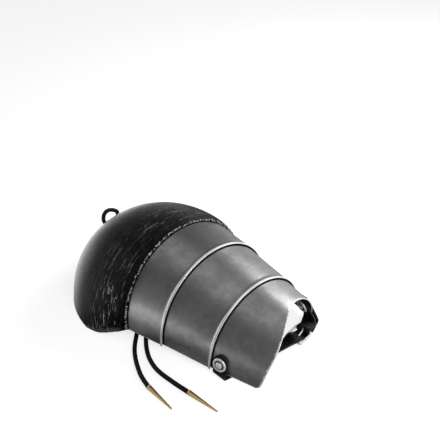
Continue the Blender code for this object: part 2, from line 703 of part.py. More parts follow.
def main():
    clear_scene()
    collection = new_collection("pauldron")
    cutter_collection = new_collection("pauldron_cutters")
    materials = {
        "leather": new_material("black_leather", (0.018, 0.017, 0.017), 0.0, 0.42),
        "steel": new_material("satin_steel", (0.42, 0.42, 0.43), 1.0, 0.38),
        "strap": new_material("strap_leather", (0.015, 0.015, 0.015), 0.0, 0.5),
        "nickel": new_material("nickel_fittings", (0.72, 0.71, 0.70), 1.0, 0.18),
        "lace": new_material("lace_cord", (0.012, 0.012, 0.013), 0.0, 0.75),
        "brass": new_material("brass_aglets", (0.72, 0.50, 0.20), 1.0, 0.25),
    }
    root = bpy.data.objects.new("pauldron_stand", None)
    collection.objects.link(root)

    stem_cutters = {}
    for name, side in (("near", -1), ("far", 1)):
        point, normal, _ = wall_frame(*(NEAR_RIVET if side < 0 else FAR_RIVET), side)
        stem_cutters[name] = cylinder_cutter("stem_hole_" + name, point, normal, STEM_HOLE, 0.014,
                                             cutter_collection, root)
    lace_cutters = []
    for name, side in (("near", -1), ("far", 1)):
        point, normal = lace_hole_frame(side)
        lace_cutters.append(cylinder_cutter("lace_hole_" + name, point, normal, LACE_HOLE_RADIUS, 0.014,
                                            cutter_collection, root))
    slot = cylinder_cutter("tongue_slot", (BUCKLE_AT.x, BUCKLE_AT.y - 0.0005, 0.004), (0, 0, 1),
                           0.0016, 0.012, cutter_collection, root)
    slot.scale = (1.0, 3.4, 1.0)
    _, end_bar = buckle_bars()
    fold_slot = cylinder_cutter("fold_slot", (end_bar.x, end_bar.y - 0.003, end_bar.z), (0, 0, 1),
                                0.0016, 0.012, cutter_collection, root)
    fold_slot.scale = (1.0, 2.2, 1.0)

    build_cap(collection, materials["leather"], root, lace_cutters)
    build_lames(collection, materials["steel"], root, list(stem_cutters.values()))
    build_strap(collection, materials["strap"], root, [stem_cutters["near"], slot])
    build_tab(collection, materials["strap"], root, [stem_cutters["far"], fold_slot])
    build_buckle(collection, materials, root)
    riveted_stack("near", -1, STRAP_THICKNESS, 0.0, collection, root, materials)
    riveted_stack("far", 1, TAB_THICKNESS, TAB_THICKNESS, collection, root, materials)
    hard_pieces = [obj for obj in collection.objects if obj.type != "EMPTY"]
    build_lace(collection, materials, root)
    stand_on_origin(root, hard_pieces)


main()
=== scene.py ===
"""Dress and light the pauldron: leather cap, steel lames, buckled arm strap and braided lace.

All lengths are metres. The shell is a fan of half-ellipse sections, which open towards the floor.
"""
import logging
import math
from dataclasses import dataclass, field
from enum import Enum
from functools import partial, reduce
from typing import Sequence

import bmesh
import bpy
import numpy as np
from mathutils import Matrix, Vector
from mathutils.bvhtree import BVHTree


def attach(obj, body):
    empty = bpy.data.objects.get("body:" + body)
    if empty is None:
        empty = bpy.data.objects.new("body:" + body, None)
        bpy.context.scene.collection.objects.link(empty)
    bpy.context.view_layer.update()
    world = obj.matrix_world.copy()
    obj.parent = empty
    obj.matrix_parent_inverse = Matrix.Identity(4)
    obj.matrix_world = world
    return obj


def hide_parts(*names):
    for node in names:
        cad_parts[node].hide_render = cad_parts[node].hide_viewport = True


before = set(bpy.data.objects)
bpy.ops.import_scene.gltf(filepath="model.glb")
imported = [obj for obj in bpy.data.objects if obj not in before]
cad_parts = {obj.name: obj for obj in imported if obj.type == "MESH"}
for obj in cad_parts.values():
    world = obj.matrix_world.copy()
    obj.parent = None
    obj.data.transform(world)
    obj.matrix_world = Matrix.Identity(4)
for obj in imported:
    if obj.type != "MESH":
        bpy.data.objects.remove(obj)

Material, Mesh, Node, NodeTree, Object, Socket = (
    bpy.types.Material, bpy.types.Mesh, bpy.types.Node, bpy.types.NodeTree, bpy.types.Object,
    bpy.types.NodeSocket)
Colour = tuple[float, float, float]
Rows = Sequence[Sequence[float]]
Value = float | Socket

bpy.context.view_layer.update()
LOG = logging.getLogger("pauldron")
# From the drawing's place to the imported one
STAND = np.array([-0.013726, 0.0, 0.000059])
CLEARANCE = 0.0003
FITTING_GAP = 0.0001

SHELL_HALF_WIDTH = 0.1010
SHELL_HEIGHT = 0.0965
CAP_REACH = 0.141
LEATHER_WALL = 0.0026
STEEL_WALL = 0.0012
LACE_DIAMETER = 0.0046


class Side(Enum):
    """The shell's two sides, by the sign of Y."""

    NEAR = -1
    FAR = 1


class Slot(Enum):
    """The record's material slots."""

    CAP = "black_leather"
    STEEL = "satin_steel"
    STRAP = "strap_leather"
    NICKEL = "nickel_fittings"
    LACE = "lace_cord"
    BRASS = "brass_aglets"


# Nodes

class Wiring:
    """Adds nodes to one tree and links them."""

    def __init__(self, tree: NodeTree) -> None:
        """Keep the tree that the nodes go into."""
        self.tree = tree

    def add(self, kind: str, **settings: object) -> Node:
        """Add a node.

        Args:
            kind: The node's type name.
            settings: Properties to set on it.

        Returns:
            The new node.
        """
        node = self.tree.nodes.new(kind)
        for name, value in settings.items():
            setattr(node, name, value)
        return node

    def feed(self, socket: Socket, value: object) -> None:
        """Link a socket into another, or set its value.

        Args:
            socket: The input socket.
            value: A socket to link, or a number, colour, vector or name.
        """
        if isinstance(value, Socket):
            self.tree.links.new(value, socket)
        else:
            socket.default_value = value

    def wire(self, node: Node, **values: object) -> Node:
        """Feed a node's inputs by name.

        Args:
            node: The node.
            values: What each input gets; an underscore in its name stands for a space.

        Returns:
            The same node.
        """
        for name, value in values.items():
            self.feed(node.inputs[name.replace("_", " ")], value)
        return node

    def put(self, kind: str, settings: dict[str, object] | None = None, **values: object) -> Socket:
        """Add a node, feed its inputs and return its first output."""
        return self.wire(self.add(kind, **(settings or {})), **values).outputs[0]

    def math(self, operation: str, *values: Value, clamp: bool = False) -> Socket:
        """Add a Math node.

        Args:
            operation: What it does.
            values: What its inputs get.
            clamp: Whether the result stays from 0 to 1.

        Returns:
            Its result.
        """
        node = self.add("ShaderNodeMath", operation=operation, use_clamp=clamp)
        for socket, value in zip(node.inputs, values):
            self.feed(socket, value)
        return node.outputs[0]

    def plus(self, *values: Value) -> Socket:
        """Return the sum of two or more values."""
        return reduce(partial(self.math, "ADD"), values)

    def times(self, *values: Value) -> Socket:
        """Return the product of two or more values."""
        return reduce(partial(self.math, "MULTIPLY"), values)

    def minus(self, value: Value, other: Value) -> Socket:
        """Return a difference."""
        return self.math("SUBTRACT", value, other)

    def vector(self, operation: str, *values: object) -> Socket:
        """Add a Vector Math node.

        Args:
            operation: What it does.
            values: What its inputs get.

        Returns:
            Its number for a dot product, and its vector otherwise.
        """
        node = self.add("ShaderNodeVectorMath", operation=operation)
        for socket, value in zip(node.inputs, values):
            self.feed(socket, value)
        return node.outputs["Value" if operation == "DOT_PRODUCT" else "Vector"]

    def scaled(self, vector: Socket, scale: Sequence[float]) -> Socket:
        """Return a vector multiplied part by part."""
        return self.vector("MULTIPLY", vector, tuple(scale))

    def shifted(self, vector: Socket, distance: Value) -> Socket:
        """Return a vector with the same distance added to all its parts."""
        offset = self.put("ShaderNodeCombineXYZ", X=distance, Y=distance, Z=distance)
        return self.vector("ADD", vector, offset)

    def noise(self, vector: Socket, scale: Value, detail: float = 3.0, roughness: float = 0.55,
              distortion: float = 0.0) -> Socket:
        """Return the value of a Noise Texture."""
        return self.put("ShaderNodeTexNoise", Vector=vector, Scale=scale, Detail=detail,
                        Roughness=roughness, Distortion=distortion)

    def cells(self, vector: Socket, scale: Value, feature: str = "F1") -> Socket:
        """Return the distance of a Voronoi Texture."""
        return self.put("ShaderNodeTexVoronoi", {"feature": feature}, Vector=vector, Scale=scale)

    def span(self, value: Value, low: float, high: float, to_low: float = 0.0,
             to_high: float = 1.0) -> Socket:
        """Return a value mapped smoothly from one range to another, and clamped."""
        return self.put("ShaderNodeMapRange", {"interpolation_type": "SMOOTHSTEP"}, Value=value,
                        From_Min=low, From_Max=high, To_Min=to_low, To_Max=to_high)

    def blend(self, share: Value, first: Colour | Socket, second: Colour | Socket) -> Socket:
        """Mix two colours.

        Args:
            share: How much of the second is in the mix.
            first: The first colour.
            second: The second colour.

        Returns:
            The mixed colour.
        """
        node = self.add("ShaderNodeMix", data_type="RGBA")
        self.feed(node.inputs[0], share)
        for socket, colour in ((node.inputs[6], first), (node.inputs[7], second)):
            self.feed(socket, (*colour, 1.0) if isinstance(colour, tuple) else colour)
        return node.outputs[2]

    def bump(self, height: Socket, distance: float) -> Socket:
        """Return the normal of a Bump node."""
        return self.put("ShaderNodeBump", Strength=1.0, Distance=distance, Height=height)

    def attribute(self, name: str) -> Socket:
        """Return a mesh attribute's number."""
        return self.add("ShaderNodeAttribute", attribute_name=name).outputs["Fac"]

    def group(self, tree: NodeTree, **values: object) -> Node:
        """Place a node group."""
        return self.wire(self.add("ShaderNodeGroup", node_tree=tree), **values)


def shader_group(name: str, inputs: Sequence[str],
                 outputs: Sequence[str]) -> tuple[NodeTree, Wiring, list[Socket], Node]:
    """Start a shader node group.

    Args:
        name: The group's name.
        inputs: Names of its inputs: Vector, and plain values.
        outputs: Names of its outputs, all plain values.

    Returns:
        The tree, its wiring, the sockets of its inputs in order, and its output node.
    """
    tree = bpy.data.node_groups.new(name, "ShaderNodeTree")
    for key in inputs:
        kind = "NodeSocketVector" if key == "Vector" else "NodeSocketFloat"
        tree.interface.new_socket(key, in_out="INPUT", socket_type=kind)
    for key in outputs:
        tree.interface.new_socket(key, in_out="OUTPUT", socket_type="NodeSocketFloat")
    wiring = Wiring(tree)
    source = wiring.add("NodeGroupInput")
    return tree, wiring, [source.outputs[key] for key in inputs], wiring.add("NodeGroupOutput")


def grain_group() -> NodeTree:
    """Build the leather grain: small pebbles with fine creases between them.

    Returns:
        A group with a height of 0 to 1 and a mask of the creases.
    """
    tree, w, (place, scale), out = shader_group(
        "Leather grain", ("Vector", "Pebbles per metre"), ("Height", "Creases"))
    warp = w.noise(place, w.times(scale, 0.6), 2.0)
    bent = w.shifted(place, w.math("DIVIDE", w.times(warp, 0.9), scale))
    coarse = w.cells(bent, scale, "DISTANCE_TO_EDGE")
    fine = w.cells(place, w.times(scale, 2.3), "DISTANCE_TO_EDGE")
    pebble = w.span(w.plus(coarse, w.times(warp, 0.08)), 0.0, 0.34)
    w.wire(out, Height=w.plus(w.times(pebble, 0.7), w.times(w.span(fine, 0.0, 0.25), 0.3)),
           Creases=w.minus(1.0, pebble))
    return tree


def mottle_group() -> NodeTree:
    """Build the smoky clouds and the tiny pits of handled metal.

    Returns:
        A group with clouds of 0 to 1, a mask of pits and a fine scratch pattern.
    """
    tree, w, (place, scale), out = shader_group(
        "Handled metal", ("Vector", "Clouds per metre"), ("Clouds", "Pits", "Scratches"))
    big = w.noise(place, scale, 3.0, 0.55, 0.6)
    small = w.noise(place, w.times(scale, 4.5), 4.0, 0.6, 0.3)
    tiny = w.noise(place, w.times(scale, 13.0), 3.0, 0.6)
    clouds = w.plus(w.times(big, 0.48), w.times(small, 0.34), w.times(tiny, 0.18))
    spots = w.cells(place, w.times(scale, 9.0))
    scarce = w.span(w.noise(place, w.times(scale, 2.5), 2.0), 0.52, 0.66)
    w.wire(out, Clouds=w.span(clouds, 0.38, 0.64), Pits=w.times(w.span(spots, 0.20, 0.08), scarce),
           Scratches=w.noise(w.scaled(place, (220.0, 2600.0, 2600.0)), 1.0, 2.0, 0.7))
    return tree


def wear_and_highlight_group() -> NodeTree:
    """Build the mask of a cut edge's wear and painted highlight.

    Returns:
        A group whose mask is 1 at the edge and breaks up over the given width.
    """
    tree, w, (place, distance, width, breaks), out = shader_group(
        "Edge wear", ("Vector", "Distance", "Width", "Breaks per metre"), ("Mask",))
    reach = w.times(width, w.span(w.noise(place, breaks, 3.0, 0.6), 0.3, 0.7, 0.35, 1.5))
    w.wire(out, Mask=w.span(w.math("DIVIDE", distance, reach), 1.0, 0.45))
    return tree


@dataclass(frozen=True)
class Groups:
    """The shader node groups that several finishes share."""

    grain: NodeTree = field(default_factory=grain_group)
    mottle: NodeTree = field(default_factory=mottle_group)
    wear_and_highlight: NodeTree = field(default_factory=wear_and_highlight_group)


def start_material(name: str) -> tuple[Material, Wiring, Node, Socket]:
    """Make a material with a Principled shader.

    Args:
        name: The material's name.

    Returns:
        The material, its wiring, its shader and its Object coordinates.
    """
    material = bpy.data.materials.new(name)
    material.use_nodes = True
    wiring = Wiring(material.node_tree)
    shader = material.node_tree.nodes["Principled BSDF"]
    return material, wiring, shader, wiring.add("ShaderNodeTexCoord").outputs["Object"]


# Finishes

@dataclass(frozen=True)
class CapLeather:
    """Black half-gloss leather with long stretch wrinkles and a raw lower edge; painted glints on the
    wrinkle crests, painted shade in the grain's creases and a painted floor reflection along the bottom
    rim.
    """

    colour: Colour = (0.0012, 0.0012, 0.0013)
    crease_shade_share: float = 0.4
    edge_colour: Colour = (0.62, 0.615, 0.60)
    painted_glint_colour: Colour = (0.80, 0.80, 0.80)
    fine_glint_colour: Colour = (0.036, 0.036, 0.037)
    floor_reflection_colour: Colour = (0.15, 0.15, 0.15)
    flesh_colours: tuple[Colour, Colour] = ((0.012, 0.011, 0.010), (0.034, 0.031, 0.028))
    roughness: float = 0.30
    pebbles_per_metre: float = 620.0

    def build(self, groups: Groups) -> Material:
        """Make the material.

        Args:
            groups: The shader node groups to place.

        Returns:
            The material.
        """
        material, w, shader, place = start_material("cap_leather")
        surface = w.add("ShaderNodeUVMap", uv_map="surface").outputs["UV"]
        along, around, rim, hidden = (w.attribute(name) for name in ("along", "around", "rim", "inside"))
        grain = w.group(groups.grain, Vector=place, Pebbles_per_metre=self.pebbles_per_metre)
        creases = grain.outputs["Creases"]

        def patches(across: float, down: float, low: float, high: float) -> Socket:
            """Return a mask of soft patches, in patches per metre."""
            return w.span(w.noise(w.scaled(surface, (across, down, 1.0)), 1.0, 2.0), low, high)

        drift = w.noise(w.scaled(surface, (30.0, 60.0, 1.0)), 1.0, 3.0)
        ridges = self.crests(w, surface, (24.0, 290.0, 1.0), w.times(drift, 3.5))
        hair = self.crests(w, surface, (100.0, 640.0, 1.0), w.times(drift, 6.0))

        zone = w.times(w.span(along, 0.005, 0.012), w.span(along, 0.058, 0.034))
        low_side = w.plus(0.25, w.times(w.span(around, 0.110, 0.020), 0.75))
        strength = w.times(zone, low_side, w.plus(0.35, w.times(patches(22.0, 34.0, 0.36, 0.62), 0.65)))
        smooth = w.span(along, 0.055, 0.115, 1.0, 0.30)
        raised = w.times(w.span(ridges, 0.70, 0.98), strength)
        height = w.plus(w.times(raised, 3.0), w.times(grain.outputs["Height"], smooth, 0.6),
                        w.times(w.span(hair, 0.72, 0.96), smooth))

        # Light flecks along the cut edge: raw worn leather, partly a painted highlight
        wear_and_highlight = w.group(groups.wear_and_highlight, Vector=place, Distance=rim, Width=0.0010, Breaks_per_metre=600.0)
        specks = w.times(wear_and_highlight.outputs["Mask"], w.span(w.noise(place, 520.0, 2.0), 0.47, 0.60))
        # Painted reflection: a lighter band painted along the near bottom rim, standing for the floor
        # mirrored in the leather
        floor_reflection_band = w.times(w.span(around, 0.0068, 0.0030), w.span(along, 0.004, 0.012))
        # Painted highlight: faint light strokes painted along the crests of the fine wrinkles
        fine_glint_zone = w.times(w.span(along, 0.001, 0.006), w.span(along, 0.100, 0.045))
        painted_fine_glint = w.times(w.span(hair, 0.88, 1.0), patches(150.0, 360.0, 0.45, 0.60), fine_glint_zone)
        # Painted highlight: near-white glints painted into the colour along the crests of the stretch
        # wrinkles
        painted_glint = w.times(w.span(ridges, 0.90, 1.0), strength, patches(42.0, 210.0, 0.46, 0.60))
        # Painted shade: the grain's creases painted darker than the pebbles
        tone = w.blend(w.times(creases, 0.5), self.colour,
                       tuple(part * self.crease_shade_share for part in self.colour))
        for mask, colour in ((painted_fine_glint, self.fine_glint_colour), (painted_glint, self.painted_glint_colour),
                             (w.times(floor_reflection_band, 0.8), self.floor_reflection_colour), (specks, self.edge_colour)):
            tone = w.blend(mask, tone, colour)
        flesh = w.blend(w.noise(place, 900.0, 3.0), *self.flesh_colours)
        rough = w.minus(w.plus(self.roughness, w.times(creases, 0.14)), w.times(raised, 0.10))
        rough = w.plus(rough, w.times(specks, 0.3))
        w.wire(shader, Base_Color=w.blend(w.span(hidden, 0.6, 0.95), tone, flesh),
               Roughness=w.math("MAXIMUM", rough, w.times(hidden, 0.9)), Specular_IOR_Level=0.045,
               Coat_Weight=w.times(w.span(along, 0.060, 0.105), w.times(w.span(hidden, 0.5, 0.1), 0.60)),
               Coat_Roughness=0.32, Normal=w.bump(height, 0.00045))
        return material

    @staticmethod
    def crests(w: Wiring, surface: Socket, stretch: Sequence[float], drift: Socket) -> Socket:
        """Return a value that is 1 along thin wandering lines.

        Args:
            w: The wiring of the material.
            surface: Place on the leather, in metres around and along it.
            stretch: Lines per metre in each direction.
            drift: How far the lines wander.

        Returns:
            1 on the lines, less beside them.
        """
        value = w.noise(w.shifted(w.scaled(surface, stretch), drift), 1.0, 2.0, 0.5, 0.4)
        return w.minus(1.0, w.math("ABSOLUTE", w.minus(w.times(value, 2.0), 1.0)))


@dataclass(frozen=True)
class SatinSteel:
    """Mid-grey satin steel with smoky clouds, tiny pits, bright edges that are partly wear and partly a
    painted highlight, and a painted shadow below each lip.
    """

    dark: Colour = (0.300, 0.302, 0.308)
    light: Colour = (0.435, 0.435, 0.440)
    bright: Colour = (0.93, 0.93, 0.935)
    pit_colour: Colour = (0.06, 0.058, 0.055)
    lip_shadow_colour: Colour = (0.015, 0.015, 0.015)
    roughness: float = 0.36

    def build(self, groups: Groups) -> Material:
        """Make the material.

        Args:
            groups: The shader node groups to place.

        Returns:
            The material.
        """
        material, w, shader, place = start_material("satin_steel")
        metal = w.group(groups.mottle, Vector=place, Clouds_per_metre=26.0)
        wear_and_highlight = w.group(groups.wear_and_highlight, Vector=place, Distance=w.attribute("rim"), Width=0.0018,
                       Breaks_per_metre=260.0)
        # Painted highlight: the rolled lips and worn edges are painted near white and less metallic, partly
        # real wear
        lip = w.span(w.attribute("lip"), 0.10, 0.75)
        edge = w.math("MAXIMUM", w.times(wear_and_highlight.outputs["Mask"], 0.95), lip)
        clouds, pits, scratches = metal.outputs
        tone = w.blend(clouds, self.dark, self.light)
        # Painted shadow: a dark band painted on each lame just below the edge of the piece above
        for mask, colour in ((w.times(pits, 0.7), self.pit_colour), (edge, self.bright),
                             (w.times(w.span(w.attribute("seat"), 0.0016, 0.0005), 0.9), self.lip_shadow_colour)):
            tone = w.blend(mask, tone, colour)
        rough = w.minus(self.roughness + 0.06, w.times(clouds, 0.07))
        rough = w.minus(w.plus(rough, w.times(pits, 0.2)), w.times(edge, 0.10))
        height = w.minus(w.times(scratches, 0.16), w.times(pits, 0.6))
        height = w.plus(height, w.times(w.noise(place, 160.0, 4.0), 0.25))
        w.wire(shader, Base_Color=tone, Metallic=w.minus(1.0, w.times(edge, 0.65)), Roughness=rough,
               Normal=w.bump(height, 0.00012))
        return material


@dataclass(frozen=True)
class StrapLeather:
    """Black strap leather with grey cut edges and painted shade in the grain's creases."""

    colour: Colour = (0.0040, 0.0040, 0.0042)
    crease_shade_colour: Colour = (0.003, 0.003, 0.003)
    edge_colours: tuple[Colour, Colour] = ((0.012, 0.012, 0.011), (0.060, 0.059, 0.057))

    def build(self, groups: Groups) -> Material:
        """Make the material.

        Args:
            groups: The shader node groups to place.

        Returns:
            The material.
        """
        material, w, shader, place = start_material("strap_leather")
        grain = w.group(groups.grain, Vector=place, Pebbles_per_metre=1050.0)
        cut = w.attribute("cut")
        fibres = w.noise(w.scaled(place, (900.0, 900.0, 2400.0)), 1.0, 3.0)
        # Painted shade: the grain's creases painted darker
        tone = w.blend(w.times(grain.outputs["Creases"], 0.5), self.colour, self.crease_shade_colour)
        height = w.plus(w.times(grain.outputs["Height"], 0.6), w.times(fibres, cut, 0.8))
        w.wire(shader, Base_Color=w.blend(cut, tone, w.blend(fibres, *self.edge_colours)),
               Roughness=w.plus(0.34, w.times(cut, 0.32)), Specular_IOR_Level=0.22,
               Normal=w.bump(height, 0.00022))
        return material


@dataclass(frozen=True)
class PlatedMetal:
    """Bright metal of the small fittings, with painted shade in grooves, hollows and round the rivet domes'
    edges, and a painted dark reflection along the brass tips.
    """

    name: str
    light: Colour
    painted_shade_colour: Colour
    roughness: float
    metallic: float

    def build(self, groups: Groups) -> Material:
        """Make the material.

        Args:
            groups: The shader node groups to place.

        Returns:
            The material.
        """
        material, w, shader, place = start_material(self.name)
        clouds, _, scratches = w.group(groups.mottle, Vector=place, Clouds_per_metre=190.0).outputs
        hollow = w.attribute("hollow")
        # Painted shade: grooves, hollows and dome edges darkened in the colour, over the random mottle
        shade_and_mottle = w.math("ADD", w.times(clouds, 0.12), w.times(hollow, 0.85), clamp=True)
        height = w.plus(w.times(scratches, 0.2), w.times(w.noise(place, 700.0, 3.0), 0.5))
        w.wire(shader, Base_Color=w.blend(shade_and_mottle, self.light, self.painted_shade_colour), Metallic=self.metallic,
               Roughness=w.plus(self.roughness, w.times(clouds, 0.12), w.times(hollow, 0.25)),
               Normal=w.bump(height, 0.00006))
        return material


@dataclass(frozen=True)
class LaceYarn:
    """Waxed black yarn, with painted shade between the braid's strands."""

    colour: Colour = (0.0025, 0.0025, 0.0027)
    light: Colour = (0.014, 0.014, 0.015)

    def build(self) -> Material:
        """Make the material.

        Returns:
            The material.
        """
        material, w, shader, place = start_material("lace_yarn")
        hair = w.noise(place, 3200.0, 3.0)
        # Painted shade: the gaps between the braid's strands stay darker and the raised strand crowns are
        # painted lighter
        tone = w.blend(w.times(w.attribute("raised"), hair), self.colour, self.light)
        w.wire(shader, Base_Color=tone, Roughness=w.span(hair, 0.2, 0.8, 0.48, 0.72),
               Specular_IOR_Level=0.18, Normal=w.bump(hair, 0.00012))
        return material


@dataclass(frozen=True)
class Finishes:
    """Every finish of the pauldron, built once."""

    cap: Material
    steel: Material
    strap: Material
    nickel: Material
    brass: Material
    lace: Material

    @classmethod
    def build(cls) -> "Finishes":
        """Build every finish.

        Returns:
            All the finishes.
        """
        groups = Groups()
        nickel = PlatedMetal("bright_nickel", (0.97, 0.965, 0.96), (0.012, 0.012, 0.012), 0.20, 0.25)
        brass = PlatedMetal("polished_brass", (1.0, 0.69, 0.27), (0.05, 0.018, 0.003), 0.18, 0.20)
        return cls(CapLeather().build(groups), SatinSteel().build(groups), StrapLeather().build(groups),
                   nickel.build(groups), brass.build(groups), LaceYarn().build())


# Meshes

def link(name: str, data: bpy.types.ID) -> Object:
    """Put some data into the scene.

    Args:
        name: The object's name.
        data: Its mesh, light or camera.

    Returns:
        The new object.
    """
    obj = bpy.data.objects.new(name, data)
    bpy.context.scene.collection.objects.link(obj)
    return obj


def take_mesh(name: str, bm: bmesh.types.BMesh) -> Mesh:
    """Turn an edit mesh into a mesh, and free it.

    Args:
        name: The mesh's name.
        bm: The edit mesh.

    Returns:
        The mesh.
    """
    mesh = bpy.data.meshes.new(name)
    bm.to_mesh(mesh)
    bm.free()
    return mesh


def add_piece(name: str, mesh: Mesh, material: Material) -> Object:
    """Put a mesh into the scene with its only material.

    Args:
        name: The object's name.
        mesh: Its mesh.
        material: Its material.

    Returns:
        The object.
    """
    obj = link(name, mesh)
    mesh.materials.clear()
    mesh.materials.append(material)
    return obj


def plain_mesh(obj: Object) -> None:
    """Turn an object's modifiers into its own mesh.

    Args:
        obj: The object, which loses its modifiers.
    """
    graph = bpy.context.evaluated_depsgraph_get()
    made = bpy.data.meshes.new_from_object(obj.evaluated_get(graph), preserve_all_data_layers=True,
                                           depsgraph=graph)
    obj.modifiers.clear()
    obj.data = made


def round_edges(obj: Object, width: float, segments: int, angle: float,
                clamp: bool = True) -> None:
    """Round an object's edges that are sharper than an angle in degrees.

    Args:
        obj: The object, whose mesh is changed.
        width: Width of the rounding.
        segments: Its steps.
        angle: The angle.
        clamp: Whether the rounding narrows where edges come close to each other.
    """
    bevel = obj.modifiers.new("Rounded edges", "BEVEL")
    bevel.width, bevel.segments, bevel.use_clamp_overlap = width, segments, clamp
    bevel.limit_method, bevel.angle_limit = "ANGLE", math.radians(angle)
    plain_mesh(obj)


def shade(mesh: Mesh, angle: float) -> None:
    """Shade a mesh smooth up to an angle in degrees."""
    mesh.shade_smooth()
    mesh.set_sharp_from_angle(angle=math.radians(angle))


def store(mesh: Mesh, name: str, values: np.ndarray) -> None:
    """Keep one number per vertex as an attribute."""
    attribute = mesh.attributes.new(name, "FLOAT", "POINT")
    attribute.data.foreach_set("value", np.asarray(values, np.float32).ravel())


def join_body(piece: Object, nodes: Sequence[str] = ()) -> None:
    """Let a piece ride on the pauldron and stand for its CAD nodes.

    Args:
        piece: The finished piece.
        nodes: The CAD nodes it stands for.
    """
    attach(piece, "root")
    if nodes:
        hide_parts(*nodes)
    LOG.info("%s: %d faces", piece.name, len(piece.data.polygons))


def smooth_curve(points: Rows, steps: int) -> np.ndarray:
    """Run a centripetal curve through points.

    Args:
        points: The points, in order.
        steps: How many parts each stretch is cut into.

    Returns:
        The curve's points, as rows.
    """
    rows = np.array(points, float)
    padded = np.vstack((2 * rows[0] - rows[1], rows, 2 * rows[-1] - rows[-2]))
    knots = np.concatenate(([0.0], np.cumsum(np.sqrt(np.linalg.norm(np.diff(padded, axis=0), axis=1)))))
    result = []
    for i in range(1, len(padded) - 2):
        a, b, c, d = padded[i - 1:i + 3]
        t0, t1, t2, t3 = knots[i - 1:i + 3]
        for t in t1 + (t2 - t1) * np.arange(steps) / steps:
            ab = a + (b - a) * (t - t0) / (t1 - t0)
            bc = b + (c - b) * (t - t1) / (t2 - t1)
            cd = c + (d - c) * (t - t2) / (t3 - t2)
            abc = ab + (bc - ab) * (t - t0) / (t2 - t0)
            bcd = bc + (cd - bc) * (t - t1) / (t3 - t1)
            result.append(abc + (bcd - abc) * (t - t1) / (t2 - t1))
    result.append(rows[-1])
    return np.array(result)


def even_spacing(points: np.ndarray, spacing: float) -> np.ndarray:
    """Resample a line at an even distance.

    Args:
        points: The line's points, as rows.
        spacing: The distance, which is fitted to the line's length.

    Returns:
        The new points.
    """
    along = np.concatenate(([0.0], np.cumsum(np.linalg.norm(np.diff(points, axis=0), axis=1))))
    at = np.linspace(0.0, along[-1], max(2, round(along[-1] / spacing) + 1))
    return np.stack([np.interp(at, along, points[:, k]) for k in range(3)], axis=1)


# The shell's surface: rows of x, half-width, side height, tilt in degrees and rise

def section(length: float, share: float, width: float, side: float, tilt: float, rise: float) -> np.ndarray:
    """Return one section from its shares of the shell's sizes."""
    return np.array((length * share, SHELL_HALF_WIDTH * width, SHELL_HEIGHT * side, tilt,
                     SHELL_HEIGHT * rise))


CAP_SECTIONS = np.array((
    section(CAP_REACH, -0.340, 1.015, 0.0012, -87.0, 0.964),
    section(CAP_REACH, -0.313, 1.000, 0.0090, -46.6, 0.998),
    section(CAP_REACH, -0.216, 1.008, 0.0045, -12.0, 0.998),
    section(CAP_REACH, 0.000, 0.867, 0.119, 0.1, 0.873),
))
UPPER_LENGTH, MIDDLE_LENGTH, LOWER_LENGTH = 0.0456, 0.0585, 0.0520
UPPER_EDGE = section(UPPER_LENGTH, 1.0, 0.764, 0.095, 2.8, 0.779)
MIDDLE_EDGE = section(UPPER_LENGTH + MIDDLE_LENGTH, 1.0, 0.659, 0.052, 3.6, 0.647)
LOWER_EDGE = section(UPPER_LENGTH + MIDDLE_LENGTH + LOWER_LENGTH, 1.0, 0.543, 0.012, 4.6, 0.546)
UNDER_CAP = LEATHER_WALL + CLEARANCE + FITTING_GAP
UNDER_LAME = STEEL_WALL + CLEARANCE + FITTING_GAP
# Share of the cap's reach between two whole positions at its lower edge
CAP_STEP = 0.241
# How far the third lame reaches: angle in degrees, share of its length
ARM_EDGE = np.array((
    (0, 0.95), (4, 1.04), (12, 1.08), (22, 1.11), (32, 1.13), (42, 1.14), (52, 1.12), (62, 1.07),
    (72, 0.995), (82, 0.90), (92, 0.79), (102, 0.70), (114, 0.645), (130, 0.605), (145, 0.575),
    (160, 0.545), (172, 0.51), (180, 0.44),
))
# Where the cap starts at the neck: angle in degrees, position along the sections
NECK_EDGE = np.array(((0, 0.0), (25, 0.0), (45, 0.06), (65, 0.19), (90, 0.27)))
# How the cap's side rims are trimmed: position along the sections, height in shares of the shell's
RIM_TRIM = np.array((
    (0.00, 0.0), (0.25, -0.0093), (0.50, -0.0124), (0.75, -0.0114), (1.00, -0.0073), (1.25, -0.0026),
    (1.50, 0.0010), (1.75, 0.0052), (2.00, 0.0104), (2.25, 0.0166), (2.50, 0.0187), (2.75, 0.0135),
    (3.00, 0.0052),
))
# How far the cap's side corners stand out: position along the sections, distance
RIM_FLARE = np.array((
    (0.00, 0.0026), (0.20, 0.0036), (0.43, 0.0043), (0.64, 0.0044), (0.86, 0.0040), (1.07, 0.0032),
    (1.29, 0.0023), (1.50, 0.0015), (1.71, 0.0009), (1.93, 0.0005), (2.14, 0.0002), (2.40, 0.0),
))


def inset(rows: np.ndarray, distance: np.ndarray | float) -> np.ndarray:
    """Move sections inwards; their side points keep their height.

    Args:
        rows: One section, or a row of them.
        distance: How far.

    Returns:
        The moved sections.
    """
    moved = np.array(rows, float)
    moved[..., 1] -= distance
    moved[..., 4] -= distance
    return moved


def arch(rows: np.ndarray, angles: np.ndarray) -> np.ndarray:
    """Find a point of each section at each angle.

    Args:
        rows: One section, or one for each angle.
        angles: Angles in radians, from the near side over the top.

    Returns:
        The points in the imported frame.
    """
    x, half_width, side_z, tilt, rise = np.moveaxis(np.broadcast_to(rows, (len(angles), 5)), -1, 0)
    tilt = np.radians(tilt)
    up = rise * np.sin(angles)
    return np.stack((x + up * np.sin(tilt), -half_width * np.cos(angles), side_z + up * np.cos(tilt)),
                    axis=1) + STAND


